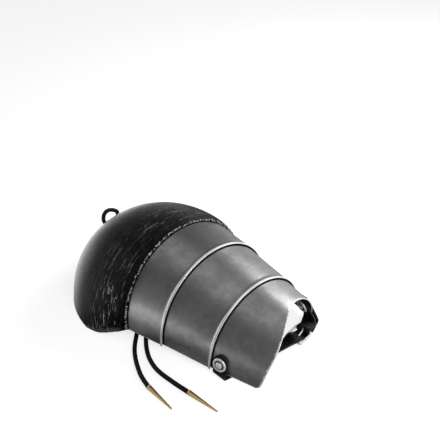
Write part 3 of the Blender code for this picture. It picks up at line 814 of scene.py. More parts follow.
def blend_cap(position: np.ndarray) -> np.ndarray:
    """Run the cap's sections together on a smooth cubic.

    Args:
        position: Positions from 0 to 3, where each whole number is a section.

    Returns:
        A section for each position.
    """
    position = np.atleast_1d(np.asarray(position, float))
    total = np.zeros((len(position), 5))
    for i, row in enumerate(CAP_SECTIONS):
        weight = np.ones(len(position))
        for j in range(len(CAP_SECTIONS)):
            if j != i:
                weight *= (position - j) / (i - j)
        total += weight[:, None] * row
    return total


def plate(name: str, outer: np.ndarray, inner: np.ndarray, material: Material,
          rounding: float, segments: int, marks: dict[str, Sequence[float]] | None = None
          ) -> Object:
    """Close two grids of points into a plate with rounded rims.

    Args:
        name: The object's name.
        outer: Points of the outer surface, as rows by columns by three.
        inner: Points of the inner surface, in the same layout.
        material: The plate's material.
        rounding: Width of the rounding of its rims.
        segments: Steps of the rounding.
        marks: More attributes of the outer surface, by name, with a value for each row.

    Returns:
        The plate, with attributes along, around, rim and inside, and a UV map in metres.
    """
    count, columns = outer.shape[:2]
    shift = count * columns
    grid = np.arange(shift).reshape(count, columns)
    a, b, c, d = grid[:-1, :-1], grid[1:, :-1], grid[1:, 1:], grid[:-1, 1:]
    outside = np.stack((a, b, c, d), axis=-1).reshape(-1, 4)
    inside = np.stack((d, c, b, a), axis=-1).reshape(-1, 4) + shift
    border = [*grid[0], *grid[1:, -1], *grid[-1, -2::-1], *grid[-2:0:-1, 0]]
    rim_faces = [(first, second, shift + second, shift + first)
                 for first, second in zip(border, border[1:] + border[:1])]
    mesh = bpy.data.meshes.new(name)
    mesh.from_pydata(np.concatenate((outer.reshape(-1, 3), inner.reshape(-1, 3))).tolist(), [],
                     [*outside.tolist(), *inside.tolist(), *rim_faces])
    down = np.linalg.norm(np.diff(outer, axis=0), axis=2)
    across = np.linalg.norm(np.diff(outer, axis=1), axis=2)
    to_end = np.vstack((np.cumsum(down[::-1], axis=0)[::-1], np.zeros((1, columns))))
    from_start = np.vstack((np.zeros((1, columns)), np.cumsum(down, axis=0)))
    around = np.hstack((np.zeros((count, 1)), np.cumsum(across, axis=1)))
    rim = np.minimum(np.minimum(to_end, from_start), np.minimum(around, around[:, -1:] - around))
    for key, values in (("along", to_end), ("around", around), ("rim", rim)):
        store(mesh, key, np.concatenate((values.ravel(), values.ravel())))
    store(mesh, "inside", np.concatenate((np.zeros(shift), np.ones(shift))))
    for key, values in (marks or {}).items():
        store(mesh, key, np.concatenate((np.repeat(values, columns), np.zeros(shift))))
    corners = np.empty(len(mesh.loops), np.int32)
    mesh.loops.foreach_get("vertex_index", corners)
    flat = np.tile(np.stack((around.ravel(), to_end.ravel()), axis=1), (2, 1))
    mesh.uv_layers.new(name="surface").data.foreach_set("uv", flat[corners].astype(np.float32).ravel())
    obj = add_piece(name, mesh, material)
    round_edges(obj, rounding, segments, 50.0, clamp=False)
    shade(obj.data, 60.0)
    return obj


def turned_mesh(name: str, profile: Rows, steps: int) -> Mesh:
    """Turn a profile about Z.

    Args:
        name: The mesh's name.
        profile: Rows of radius, height and painted shade, from the inside bottom round
        the outside; a radius of 0 closes it.
        steps: How many parts the turn has.

    Returns:
        The closed mesh, with the painted shade as an attribute.
    """
    bm = bmesh.new()
    layer = bm.verts.layers.float.new("hollow")
    rings = []
    for radius, height, hollow in profile:
        turn = [0.0] if radius == 0 else [2 * math.pi * k / steps for k in range(steps)]
        ring = [bm.verts.new((radius * math.cos(a), radius * math.sin(a), height)) for a in turn]
        for vertex in ring:
            vertex[layer] = hollow
        rings.append(ring)
    if profile[0][0] > 0:
        rings.append(rings[0])
    for first, second in zip(rings, rings[1:]):
        for k in range(steps):
            n = (k + 1) % steps
            corners = [first[k % len(first)], first[n % len(first)], second[n % len(second)],
                       second[k % len(second)]]
            bm.faces.new(list(dict.fromkeys(corners)))
    bmesh.ops.recalc_face_normals(bm, faces=bm.faces)
    mesh = take_mesh(name, bm)
    shade(mesh, 38.0)
    return mesh


def node_points(name: str) -> np.ndarray:
    """Return the points of a CAD node."""
    return np.array([vertex.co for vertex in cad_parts[name].data.vertices])


# Geometry Nodes

class Recipe(Wiring):
    """A Geometry Nodes tree with named inputs."""

    def __init__(self, name: str, inputs: dict[str, tuple[str, object]]) -> None:
        """Start the tree.

        Args:
            name: The tree's name.
            inputs: Socket type and first value by input name.
        """
        super().__init__(bpy.data.node_groups.new(name, "GeometryNodeTree"))
        sockets = self.tree.interface
        sockets.new_socket("Geometry", in_out="INPUT", socket_type="NodeSocketGeometry")
        self.keys: dict[str, str] = {}
        for key, (kind, value) in inputs.items():
            socket = sockets.new_socket(key, in_out="INPUT", socket_type="NodeSocket" + kind)
            if value is not None:
                socket.default_value = value
            self.keys[key] = socket.identifier
        sockets.new_socket("Geometry", in_out="OUTPUT", socket_type="NodeSocketGeometry")
        self.given = self.add("NodeGroupInput").outputs
        self.target = self.add("NodeGroupOutput")

    def store(self, geometry: Socket, name: str, value: Socket) -> Socket:
        """Keep a number on every point.

        Args:
            geometry: The geometry.
            name: The attribute's name.
            value: The number.

        Returns:
            The geometry with the attribute.
        """
        node = self.wire(self.add("GeometryNodeStoreNamedAttribute", data_type="FLOAT", domain="POINT"),
                         Geometry=geometry, Name=name)
        self.feed(next(s for s in node.inputs if s.name == "Value" and s.enabled), value)
        return node.outputs["Geometry"]

    def stored(self, name: str, kind: str = "FLOAT") -> Socket:
        """Return a named attribute of a given data type."""
        node = self.wire(self.add("GeometryNodeInputNamedAttribute", data_type=kind), Name=name)
        return next(s for s in node.outputs if s.enabled)

    def close(self, geometry: Socket) -> None:
        """End the tree in Realize Instances and Set Material.

        Args:
            geometry: What the tree has made.
        """
        real = self.put("GeometryNodeRealizeInstances", Geometry=geometry)
        paint = self.put("GeometryNodeSetMaterial", Geometry=real, Material=self.given["Material"])
        self.feed(self.target.inputs[0], paint)

    def make(self, obj: Object, values: dict[str, object]) -> None:
        """Run the tree on an object and keep the result as its mesh.

        Args:
            obj: The object that holds the points or lines.
            values: The inputs by name.
        """
        modifier = obj.modifiers.new(self.tree.name, "NODES")
        modifier.node_group = self.tree
        for key, value in values.items():
            modifier[self.keys[key]] = value
        plain_mesh(obj)
        obj.data.materials.clear()
        obj.data.materials.append(values["Material"])


def braid_recipe() -> Recipe:
    """Build the tree that braids a lace along a line.

    Returns:
        A tree with the radius, the strands, the pitch and the relief as inputs.
    """
    r = Recipe("Braided lace", {
        "Radius": ("Float", 0.002), "Strands": ("Float", 6.0), "Pitch": ("Float", 0.012),
        "Relief": ("Float", 0.0004), "Step": ("Float", 0.0003), "Sides": ("Int", 36),
        "Material": ("Material", None)})
    line = r.put("GeometryNodeMeshToCurve", Mesh=r.given["Geometry"])
    even = r.put("GeometryNodeResampleCurve", {"mode": "LENGTH"}, Curve=line, Length=r.given["Step"])
    run = r.store(even, "run", r.add("GeometryNodeSplineParameter").outputs["Length"])
    circle = r.put("GeometryNodeCurvePrimitiveCircle", Resolution=r.given["Sides"],
                   Radius=r.given["Radius"])
    turn = r.store(circle, "turn", r.math("DIVIDE", r.put("GeometryNodeInputIndex"), r.given["Sides"]))
    tube = r.put("GeometryNodeCurveToMesh", Curve=run, Profile_Curve=turn, Fill_Caps=True)
    turns = r.math("DIVIDE", r.stored("run"), r.given["Pitch"])
    first = r.times(r.plus(r.stored("turn"), turns), r.given["Strands"])
    second = r.times(r.minus(r.stored("turn"), turns), r.given["Strands"])

    def crown(phase: Socket) -> Socket:
        """Return the height of a strand's round back, from 0 at its sides to 1."""
        place = r.minus(r.times(r.math("FRACT", phase), 2.0), 1.0)
        return r.math("SQRT", r.minus(1.0, r.times(place, place)))

    parity = r.math("FLOORED_MODULO", r.plus(r.math("FLOOR", first), r.math("FLOOR", second)), 2.0)
    swap = r.minus(1.0, parity)
    over = r.plus(r.times(crown(first), parity), r.times(crown(second), swap))
    under = r.plus(r.times(crown(first), swap), r.times(crown(second), parity))
    height = r.math("MAXIMUM", over, r.times(under, 0.45))
    lift = r.times(r.minus(height, 0.75), r.given["Relief"])
    push = r.wire(r.add("ShaderNodeVectorMath", operation="SCALE"), Scale=lift)
    r.feed(push.inputs[0], r.put("GeometryNodeInputNormal"))
    raised = r.store(tube, "raised", height)
    move = r.put("GeometryNodeSetPosition", Geometry=raised, Offset=push.outputs[0])
    r.close(r.put("GeometryNodeSetShadeSmooth", Geometry=move))
    return r


def fastener_recipe() -> Recipe:
    """Build the tree that sets a turned part on each point, along the point's own axis.

    Returns:
        A tree with the turned part and its material as inputs.
    """
    r = Recipe("Turned parts on points", {
        "Part": ("Object", None), "Material": ("Material", None)})
    part = r.wire(r.add("GeometryNodeObjectInfo"), Object=r.given["Part"]).outputs["Geometry"]
    axis = r.stored("axis", "FLOAT_VECTOR")
    turned = r.put("FunctionNodeAlignRotationToVector", {"axis": "Z"}, Vector=axis)
    points = r.put("GeometryNodeMeshToPoints", Mesh=r.given["Geometry"])
    r.close(r.put("GeometryNodeInstanceOnPoints", Points=points, Instance=part, Rotation=turned,
                  Scale=r.stored("size", "FLOAT_VECTOR")))
    return r


def fibre_recipe() -> Recipe:
    """Build the tree that sets frayed fibre ends along a cut edge.

    Returns:
        A tree with the spacing, the size, the share kept and the seed as inputs.
    """
    r = Recipe("Frayed edge", {
        "Spacing": ("Float", 0.0011), "Size": ("Float", 0.00035), "Kept": ("Float", 0.7),
        "Seed": ("Int", 7), "Material": ("Material", None)})
    line = r.put("GeometryNodeMeshToCurve", Mesh=r.given["Geometry"])
    points = r.put("GeometryNodeCurveToPoints", {"mode": "LENGTH"}, Curve=line, Length=r.given["Spacing"])

    def chance(low: object, high: object, kind: str, offset: int) -> Socket:
        """Add a random value.

        Args:
            low: Its least value.
            high: Its greatest value.
            kind: Its data type.
            offset: What is added to the seed.

        Returns:
            The value, one for each point.
        """
        node = r.add("FunctionNodeRandomValue", data_type=kind)
        shown = [socket for socket in node.inputs if socket.enabled]
        r.feed(shown[0], low)
        r.feed(shown[1], high)
        r.wire(node, Seed=r.plus(r.given["Seed"], float(offset)))
        return next(socket for socket in node.outputs if socket.enabled)

    dropped = r.math("GREATER_THAN", chance(0.0, 1.0, "FLOAT", 0), r.given["Kept"])
    kept = r.put("GeometryNodeDeleteGeometry", {"domain": "POINT"}, Geometry=points, Selection=dropped)
    spread = r.put("GeometryNodeSetPosition", Geometry=kept,
                   Offset=chance((-0.00025,) * 3, (0.00025,) * 3, "FLOAT_VECTOR", 1))
    tuft = r.put("GeometryNodeMeshIcoSphere", Radius=r.given["Size"], Subdivisions=1)
    r.close(r.put("GeometryNodeInstanceOnPoints", Points=spread, Instance=tuft,
                  Rotation=chance((0.0,) * 3, (6.28,) * 3, "FLOAT_VECTOR", 2),
                  Scale=chance((0.4, 0.4, 0.6), (1.1, 1.0, 2.2), "FLOAT_VECTOR", 3)))
    return r


def line_object(name: str, points: np.ndarray) -> Object:
    """Make an object whose mesh is a line of points.

    Args:
        name: The object's name.
        points: The points, as rows.

    Returns:
        The object.
    """
    mesh = bpy.data.meshes.new(name)
    mesh.from_pydata(np.asarray(points).tolist(), [(i, i + 1) for i in range(len(points) - 1)], [])
    return link(name, mesh)


# Sub-assemblies

@dataclass
class Studio:
    """Camera, floor and lights."""

    azimuth: float = 47.163
    elevation: float = 31.624
    roll: float = -5.180
    place: tuple[float, float, float] = (0.523469, -0.424864, 0.514356)
    focal_pixels: float = 747.422
    image_pixels: float = 440.0
    floor_size: float = 8.0
    floor_glow: float = 0.77
    aim: tuple[float, float, float] = (0.10, 0.0, 0.05)

    def camera(self) -> None:
        """Set the camera at the photograph's angle."""
        data = bpy.data.cameras.new("camera")
        data.sensor_width = 36.0
        data.lens = self.focal_pixels / self.image_pixels * 36.0
        data.clip_start, data.clip_end = 0.01, 50.0
        camera = link("camera", data)
        azimuth, elevation, roll = (math.radians(v) for v in (self.azimuth, self.elevation, self.roll))
        back = Vector((math.sin(azimuth) * math.cos(elevation), -math.cos(azimuth) * math.cos(elevation),
                       math.sin(elevation)))
        right = Vector((math.cos(azimuth), math.sin(azimuth), 0.0))
        up = back.cross(right)
        turned_right = right * math.cos(roll) + up * math.sin(roll)
        turned_up = up * math.cos(roll) - right * math.sin(roll)
        rotation = Matrix((turned_right, turned_up, back)).transposed()
        camera.matrix_world = Matrix.Translation(Vector(self.place) + Vector(STAND)) @ rotation.to_4x4()
        bpy.context.scene.camera = camera

    def softbox(self, name: str, place: Sequence[float], size: Sequence[float], brightness: float) -> None:
        """Set up one soft light that faces the object.

        Args:
            name: The light's name.
            place: Its middle.
            size: Its width and height.
            brightness: How bright its face is beside white.
        """
        data = bpy.data.lights.new(name, "AREA")
        data.shape = "RECTANGLE"
        data.size, data.size_y = size
        data.energy = brightness * math.pi * size[0] * size[1]
        light = link(name, data)
        light.location = place
        light.rotation_euler = (Vector(place) - Vector(self.aim)).to_track_quat("Z", "Y").to_euler()
        light.visible_camera = False

    def floor(self) -> None:
        """Lay the white floor, which the shell mirrors bright from the left and from behind only."""
        half = self.floor_size / 2
        mesh = bpy.data.meshes.new("floor")
        mesh.from_pydata([(-half, -half, 0), (half, -half, 0), (half, half, 0), (-half, half, 0)], [],
                         [(0, 1, 2, 3)])
        material = bpy.data.materials.new("pale_floor")
        material.use_nodes = True
        w = Wiring(material.node_tree)
        place = w.add("ShaderNodeTexCoord").outputs["Object"]
        left = w.span(w.vector("DOT_PRODUCT", place, (-0.90, -0.45, 0.0)), 0.08, 0.24)
        behind = w.span(w.vector("DOT_PRODUCT", place, (0.64, 0.77, 0.0)), 0.14, 0.40)
        mirrored = w.plus(0.16, w.times(w.math("MAXIMUM", left, behind), 0.74))
        glow = w.plus(w.times(mirrored, 0.45), w.times(left, 1.20), 0.03)
        path = w.add("ShaderNodeLightPath").outputs
        grey = w.put("ShaderNodeCombineColor", Red=mirrored, Green=mirrored, Blue=mirrored)
        w.wire(material.node_tree.nodes["Principled BSDF"], Roughness=0.9, Specular_IOR_Level=0.0,
               Base_Color=w.blend(path["Is Glossy Ray"], (0.50, 0.50, 0.50), grey),
               Emission_Color=(1.0, 1.0, 1.0, 1.0), Emission_Strength=w.plus(
                   w.times(path["Is Camera Ray"], self.floor_glow), w.times(path["Is Glossy Ray"], glow)))
        floor = add_piece("floor", mesh, material)

    def world(self) -> None:
        """Light the room: a dim front, a pale ceiling and a bright horizon on the left."""
        world = bpy.data.worlds.new("room")
        bpy.context.scene.world = world
        world.use_nodes = True
        w = Wiring(world.node_tree)
        direction = w.add("ShaderNodeTexCoord").outputs["Generated"]
        room = 0.05
        for toward, low, high, strength in (
                ((-0.18, 0.03, 1.0), 0.88, 0.98, 0.60), ((-0.93, -0.36, 0.02), 0.87, 0.98, 3.00),
                ((-0.90, 0.44, 0.0), 0.90, 0.99, 0.90), ((0.3, -0.8, 0.5), 0.60, 1.0, 0.16)):
            share = w.vector("DOT_PRODUCT", direction, tuple(Vector(toward).normalized()))
            room = w.plus(room, w.times(w.span(share, low, high), strength))
        seen = w.add("ShaderNodeLightPath").outputs["Is Camera Ray"]
        w.wire(world.node_tree.nodes["Background"], Color=(1.0, 1.0, 1.0, 1.0),
               Strength=w.plus(seen, w.times(w.minus(1.0, seen), room)))

    def build(self) -> None:
        """Set up the whole studio."""
        self.camera()
        self.floor()
        self.world()
        self.softbox("back_softbox", (0.24, 0.75, 0.56), (0.68, 0.34), 9.0)
        self.softbox("back_panel", (0.30, 0.78, 0.14), (0.90, 0.40), 1.5)
        self.softbox("arm_softbox", (0.85, 0.10, 0.28), (0.5, 0.4), 2.6)
        self.softbox("key_softbox", (0.72, -0.20, 0.64), (0.30, 0.30), 8.5)
        bpy.context.scene.view_settings.view_transform = "Standard"
        bpy.context.scene.view_settings.look = "None"


@dataclass
class Lace:
    """The braided lace: a loop outside the cap and two ends with brass tips."""

    finishes: Finishes
    diameter: float = LACE_DIAMETER
    strands: float = 6.0
    pitch: float = 0.0125
    relief: float = 0.00042
    step: float = 0.00034
    hole_row: float = 0.84
    hole_spacing: float = 0.0200
    spacing: float = 0.0095
    bend_reach: float = 0.0050
    loop_rise: float = 0.0040
    loop_spacing: float = 0.004
    tip_length: float = 0.0380
    tip_radius: float = 0.0026
    tip_end_radius: float = 0.0008
    # Collar rows: radius as a share of the tip's radius, height and painted shade, darkest at the open end
    # and in the crimp ring
    collar: Rows = (
        (0.0, 0.0, 1.0), (0.80, 0.0, 1.0), (0.97, 0.0002, 0.3), (1.04, 0.0006, 0.0), (1.03, 0.0011, 0.0),
        (0.93, 0.0016, 0.7), (0.95, 0.0022, 0.2), (0.97, 0.0030, 0.0), (0.93, 0.0040, 0.0))
    seam_half_turn: float = 8.0
    seam_depth: float = 0.94
    seam_turn: float = 115.0
    dark_streak_turn: float = 82.0
    dark_streak_reach: float = 34.0
    dark_streak_fade: float = 9.0
    routes: dict[Side, Rows] = field(default_factory=lambda: {
        Side.NEAR: ((-0.1085, -0.0105, 0.0525), (-0.1030, -0.0115, 0.0400), (-0.1000, -0.0140, 0.0230),
                    (-0.0945, -0.0185, 0.0090), (-0.0830, -0.0260, 0.0030), (-0.0640, -0.0370, 0.0025),
                    (-0.0400, -0.0510, 0.0025), (-0.0160, -0.0650, 0.0025), (0.0000, -0.0745, 0.0025),
                    (0.0060, -0.0802, 0.0025), (0.0115, -0.0864, 0.0025), (0.0178, -0.0924, 0.0025),
                    (0.0245, -0.0982, 0.0025), (0.0380, -0.1072, 0.0025), (0.0465, -0.1118, 0.0025),
                    (0.0576, -0.1170, 0.0025), (0.0735, -0.1218, 0.0026)),
        Side.FAR: ((-0.1080, 0.0098, 0.0525), (-0.1010, 0.0090, 0.0400), (-0.0960, 0.0060, 0.0230),
                   (-0.0895, 0.0010, 0.0090), (-0.0780, -0.0070, 0.0030), (-0.0600, -0.0190, 0.0025),
                   (-0.0360, -0.0350, 0.0025), (-0.0100, -0.0530, 0.0025), (0.0060, -0.0666, 0.0025),
                   (0.0170, -0.0764, 0.0025), (0.0280, -0.0852, 0.0025), (0.0420, -0.0938, 0.0025),
                   (0.0550, -0.0988, 0.0025), (0.0650, -0.1010, 0.0025), (0.0783, -0.1018, 0.0025),
                   (0.0908, -0.1020, 0.0025), (0.1085, -0.1017, 0.0026)),
    })
    headings: dict[Side, tuple[float, float]] = field(default_factory=lambda: {
        Side.NEAR: (1.0, -0.11), Side.FAR: (1.0, 0.03)})
    loop_route: Rows = (
        (-0.97, 0.0042, 0.0062), (-0.55, 0.0048, 0.0094), (0.00, 0.0048, 0.0098),
        (0.55, 0.0040, 0.0078), (0.95, 0.0034, 0.0048))

    def hole(self, side: Side) -> tuple[np.ndarray, np.ndarray]:
        """Find a lace hole.

        Args:
            side: Which of the two.

        Returns:
            Its centre on the cap and its outward normal.
        """
        row = blend_cap(self.hole_row)
        angle = np.array([math.acos(-side.value * self.hole_spacing / 2 / row[0, 1])])
        point = arch(row, angle)[0]
        ahead = arch(blend_cap(self.hole_row + 0.05), angle)[0] - point
        across = arch(row, angle + 0.02)[0] - point
        normal = np.cross(ahead, across)
        return point, normal / np.linalg.norm(normal)

    def tail_line(self, side: Side) -> np.ndarray:
        """Draw one end of the lace, from its hole to its tip.

        Args:
            side: Which end.

        Returns:
            The centreline's points.
        """
        point, normal = self.hole(side)
        start = point - normal * (LEATHER_WALL / 2 + CLEARANCE / 2)
        bend = start - normal * self.bend_reach
        route = np.array(self.routes[side]) + STAND
        coarse = even_spacing(smooth_curve([start, bend, *route], 8), self.spacing)
        return smooth_curve([start, start - normal * self.bend_reach / 2, *coarse[1:]], 6)

    def loop_line(self) -> np.ndarray:
        """Draw the loop that stands out of the two holes.

        Returns:
            The centreline's points.
        """
        near, near_normal = self.hole(Side.NEAR)
        far, far_normal = self.hole(Side.FAR)
        middle, reach = (near + far) / 2, (far - near) / 2
        outward = near_normal + far_normal
        outward /= np.linalg.norm(outward)
        sink = -LEATHER_WALL / 2 + CLEARANCE / 2
        rise = np.array((0.0, 0.0, 1.0))
        bow = [middle + reach * along + outward * out + rise * up for along, out, up in self.loop_route]
        route = [near + near_normal * self.loop_rise, *bow, far + far_normal * self.loop_rise]
        even = even_spacing(smooth_curve(route, 6), self.loop_spacing)
        return smooth_curve([near + near_normal * sink, *even, far + far_normal * sink], 4)

    def tip(self, side: Side, last: np.ndarray) -> Object:
        """Build the rolled brass tip at the end of a lace.

        Args:
            side: Which end of the lace.
            last: The last point of its centreline.

        Returns:
            The tip.
        """
        length, wide, thin = self.tip_length, self.tip_radius, self.tip_end_radius
        profile = [(wide * share, height, hollow) for share, height, hollow in self.collar]
        neck, collar_end = profile[-1][:2]
        for share in (0.2, 0.35, 0.5, 0.65, 0.8, 0.92):
            radius = neck + (thin - neck) * share
            profile.append((radius, collar_end + (length - 0.0050) * share, 0.0))
        profile += [(thin, length - 0.0010, 0.0), (thin * 0.75, length - 0.0003, 0.0), (0.0, length, 0.0)]
        mesh = turned_mesh("aglet", profile, 40)
        hollow = mesh.attributes["hollow"].data
        for vertex in mesh.vertices:
            angle = math.degrees(math.atan2(vertex.co.y, vertex.co.x))
            if abs(angle - self.seam_turn) < self.seam_half_turn and 0.001 < vertex.co.z < length - 0.002:
                vertex.co.xy = vertex.co.xy * self.seam_depth
            # Painted reflection: a dark streak painted along one side of each tip, added to the painted
            # shade mask
            beside = self.dark_streak_reach - abs(angle - self.dark_streak_turn)
            dark_streak = min(1.0, max(0.0, beside) / self.dark_streak_fade)
            if vertex.co.z > 0.0012:
                hollow[vertex.index].value = max(hollow[vertex.index].value, dark_streak)
        heading = Vector((*self.headings[side], 0.0)).normalized()
        heading = (heading - Vector((0.0, 0.0, (wide - thin) / length))).normalized()
        start = Vector(last) + heading * (CLEARANCE + 0.0004)
        start.z = wide + 0.0003 + STAND[2]
        mesh.transform(Matrix.Translation(start) @ heading.to_track_quat("Z", "Y").to_matrix().to_4x4())
        return add_piece(f"brass_tip_{side.name.lower()}", mesh, self.finishes.brass)

    def braid(self, name: str, line: np.ndarray, recipe: Recipe) -> Object:
        """Braid the lace along a line.

        Args:
            name: The piece's name.
            line: The centreline's points.
            recipe: The tree that braids.

        Returns:
            The braided piece.
        """
        piece = line_object(name, line)
        recipe.make(piece, {
            "Radius": self.diameter / 2, "Strands": self.strands, "Pitch": self.pitch,
            "Relief": self.relief, "Step": self.step, "Sides": 36, "Material": self.finishes.lace})
        return piece

    def build(self) -> None:
        recipe = braid_recipe()
        for side in Side:
            line = self.tail_line(side)
            key = side.name.lower()
            tip = self.tip(side, line[-1])
            join_body(tip, ["aglet_" + key])
            tail = self.braid("lace_end_" + key, line, recipe)
            join_body(tail, ["lace_tail_" + key])
        line = self.loop_line()
        loop = self.braid("lace_bow", line, recipe)
        join_body(loop, ["lace_loop"])


@dataclass
class LeatherCap:
    """The domed cap, with its raw, slightly frayed lower edge."""

    finishes: Finishes
    columns: int = 220
    rows: int = 84
    waviness: float = 0.00035
    trim_turn: float = 14.0
    flare_turn: float = 26.0
    fray_height: float = 0.30
    fray_step: float = 0.0001
    hole_radius: float = 0.0029
    rounding: float = 0.0007

    def grids(self) -> tuple[np.ndarray, np.ndarray]:
        """Lay out the cap's points.

        Returns:
            The outer grid and the inner grid.
        """
        angles = np.linspace(0.0, math.pi, self.columns + 1)
        folded = np.minimum(np.degrees(angles), 180.0 - np.degrees(angles))
        starts = np.interp(folded, NECK_EDGE[:, 0], NECK_EDGE[:, 1])
        rng = np.random.default_rng(5)
        ragged = np.convolve(rng.normal(size=self.columns + 5), np.ones(3) / 3, "same")[2:-2]
        outer, inner = [], []
        for i in range(self.rows + 1):
            share = i / self.rows
            position = starts + (len(CAP_SECTIONS) - 1.0 - starts) * share
            sections = blend_cap(position)
            sections[:, 0] += self.waviness * ragged * max(0.0, share * self.rows - self.rows + 1.0)
            trim = np.interp(position, RIM_TRIM[:, 0], RIM_TRIM[:, 1]) * SHELL_HEIGHT
            flare = np.interp(position, RIM_FLARE[:, 0], RIM_FLARE[:, 1])
            lift = np.zeros((len(angles), 3))
            lift[:, 1] = -flare * np.cos(angles) * np.clip(1.0 - folded / self.flare_turn, 0.0, 1.0) ** 2
            lift[:, 2] = trim * np.clip(1.0 - folded / self.trim_turn, 0.0, 1.0) ** 2
            outer.append(arch(sections, angles) + lift)
            inner.append(arch(inset(sections, LEATHER_WALL), angles) + lift)
        return np.array(outer), np.array(inner)

    def build(self) -> None:
        """Build the cap and the fibres of its cut edge."""
        outer, inner = self.grids()
        cap = plate("domed_cap", outer, inner, self.finishes.cap, self.rounding, 3)
        lace = Lace(self.finishes)
        for side in Side:
            self.punch(cap, *map(Vector, lace.hole(side)))
        join_body(cap, ["leather_cap"])
        middle = (outer[-1] + inner[-1]) / 2
        edge = middle + (outer[-1] - inner[-1]) * self.fray_height + np.array((self.fray_step, 0, 0))
        fibres = line_object("frayed_edge", edge)
        fibre_recipe().make(fibres, {"Spacing": 0.0010, "Size": 0.00030, "Kept": 0.55, "Seed": 11,
                                     "Material": self.finishes.cap})
        join_body(fibres)

    def punch(self, cap: Object, centre: Vector, axis: Vector) -> None:
        """Cut one lace hole.

        Args:
            cap: The cap.
            centre: Middle of the hole.
            axis: Its direction.
        """
        bm = bmesh.new()
        bmesh.ops.create_cone(bm, cap_ends=True, segments=40, radius1=self.hole_radius,
                              radius2=self.hole_radius, depth=0.014)
        bm.transform(Matrix.Translation(centre) @ axis.to_track_quat("Z", "Y").to_matrix().to_4x4())
        cutter = link("punch", take_mesh("punch", bm))
        boolean = cap.modifiers.new("Hole", "BOOLEAN")
        boolean.operation, boolean.solver, boolean.object = "DIFFERENCE", "EXACT", cutter
        bpy.context.view_layer.update()
        plain_mesh(cap)
        bpy.data.objects.remove(cutter)


@dataclass
class Lames:
    """The three overlapping steel lames."""

    finishes: Finishes
    columns: int = 220
    lap: float = 0.012
    lip_width: float = 0.0030
    lip_height: float = 0.0012
    foot_turn: float = 0.7
    arm_smoothing: int = 61
    raw_turn: float = 4.0
    raw_fade: float = 8.0
    lip_start: float = 0.35
    cap_drop: float = 0.0012
    lame_drop: float = 0.0004
    rounding: float = 0.00038

    def grids(self, start: np.ndarray, seat: np.ndarray, edge: np.ndarray, lip: float,
              reach: np.ndarray | None = None) -> tuple[np.ndarray, np.ndarray, dict[str, list[float]]]:
        """Return a lame's outer and inner points.

        Args:
            start: Its first section, hidden under the piece above.
            seat: The section where it comes out.
            edge: Its lower edge.
            lip: Height of the rolled lip along that edge.
            reach: How far it reaches at each angle, as a share of its length.

        Returns:
            The outer grid, the inner grid, and each row's lip height and distance from the seat.
        """
        angles = np.linspace(-math.radians(self.foot_turn), math.pi + math.radians(self.foot_turn),
                             self.columns + 1)
        shares = np.ones(self.columns + 1) if reach is None else reach
        length = edge[0] - seat[0]
        steps = [*(("hidden", s) for s in np.linspace(0.0, 1.0, 5)[:-1]),
                 *(("shown", s / length) for s in (0.0, 0.0006, 0.0012, 0.0020)),
                 *(("shown", s) for s in np.linspace(0.0, 1.0 - self.lip_width / length, 15)[1:]),
                 *(("shown", 1.0 - self.lip_width / length * t)
                   for t in (0.96, 0.88, 0.76, 0.62, 0.48, 0.34, 0.20, 0.09, 0.0))]
        outer, inner = [], []
        marks: dict[str, list[float]] = {"lip": [], "seat": []}
        for part, share in steps:
            lift = 0.0
            if part == "hidden":
                rows = np.tile(start * (1 - share) + seat * share, (len(angles), 1))
            else:
                at = (shares * share)[:, None]
                rows = seat * (1 - at) + edge * at
                left = max(self.lip_start, min(1.0, (1.0 - share) * length / self.lip_width))
                lift = lip * math.sqrt(1.0 - ((left - self.lip_start) / (1.0 - self.lip_start)) ** 2)
            outer.append(arch(inset(rows, -lift), angles))
            inner.append(arch(inset(rows, STEEL_WALL - lift), angles))
            marks["lip"].append(lift / self.lip_height)
            marks["seat"].append(0.0 if part == "hidden" else share * length)
        return np.array(outer), np.array(inner), marks

    def build(self) -> None:
        """Build the lames from the cap down."""
        cap_row = len(CAP_SECTIONS) - 1.0 - self.lap / (CAP_REACH * CAP_STEP)
        start = inset(blend_cap(cap_row)[0], UNDER_CAP + self.cap_drop)
        seat = inset(CAP_SECTIONS[-1], UNDER_CAP)
        self.lame("upper", start, seat, UPPER_EDGE, self.lip_height)
        for name, above, previous, edge, lip in (
                ("middle", UPPER_EDGE, seat, MIDDLE_EDGE, self.lip_height),
                ("lower", MIDDLE_EDGE, inset(UPPER_EDGE, UNDER_LAME), LOWER_EDGE, 0.0)):
            share = self.lap / (above[0] - previous[0])
            start = inset(above * (1 - share) + previous * share, UNDER_LAME + self.lame_drop)
            self.lame(name, start, inset(above, UNDER_LAME), edge, lip)

    def lame(self, name: str, start: np.ndarray, seat: np.ndarray, edge: np.ndarray, lip: float) -> None:
        """Build one lame and let it stand for its node.

        Args:
            name: Which lame: upper, middle or lower.
            start: Its first section, hidden under the piece above.
            seat: The section where it comes out.
            edge: Its lower edge.
            lip: Height of the rolled lip along that edge.
        """
        reach = None
        if name == "lower":
            turns = np.linspace(0.0, 180.0, 721)
            fine = np.interp(turns, ARM_EDGE[:, 0], ARM_EDGE[:, 1])
            window = np.hanning(self.arm_smoothing)
            padded = np.pad(fine, self.arm_smoothing // 2, mode="edge")
            soft = np.convolve(padded, window / window.sum(), "valid")
            share = np.clip((turns - self.raw_turn) / self.raw_fade, 0.0, 1.0)
            edge_line = fine * (1 - share) + soft * share
            reach = np.interp(np.linspace(0.0, 180.0, self.columns + 1), turns, edge_line)
        outer, inner, marks = self.grids(start, seat, edge, lip, reach)
        plate_piece = plate(name + "_plate", outer, inner, self.finishes.steel, self.rounding, 2, marks)
        join_body(plate_piece, [name + "_lame"])


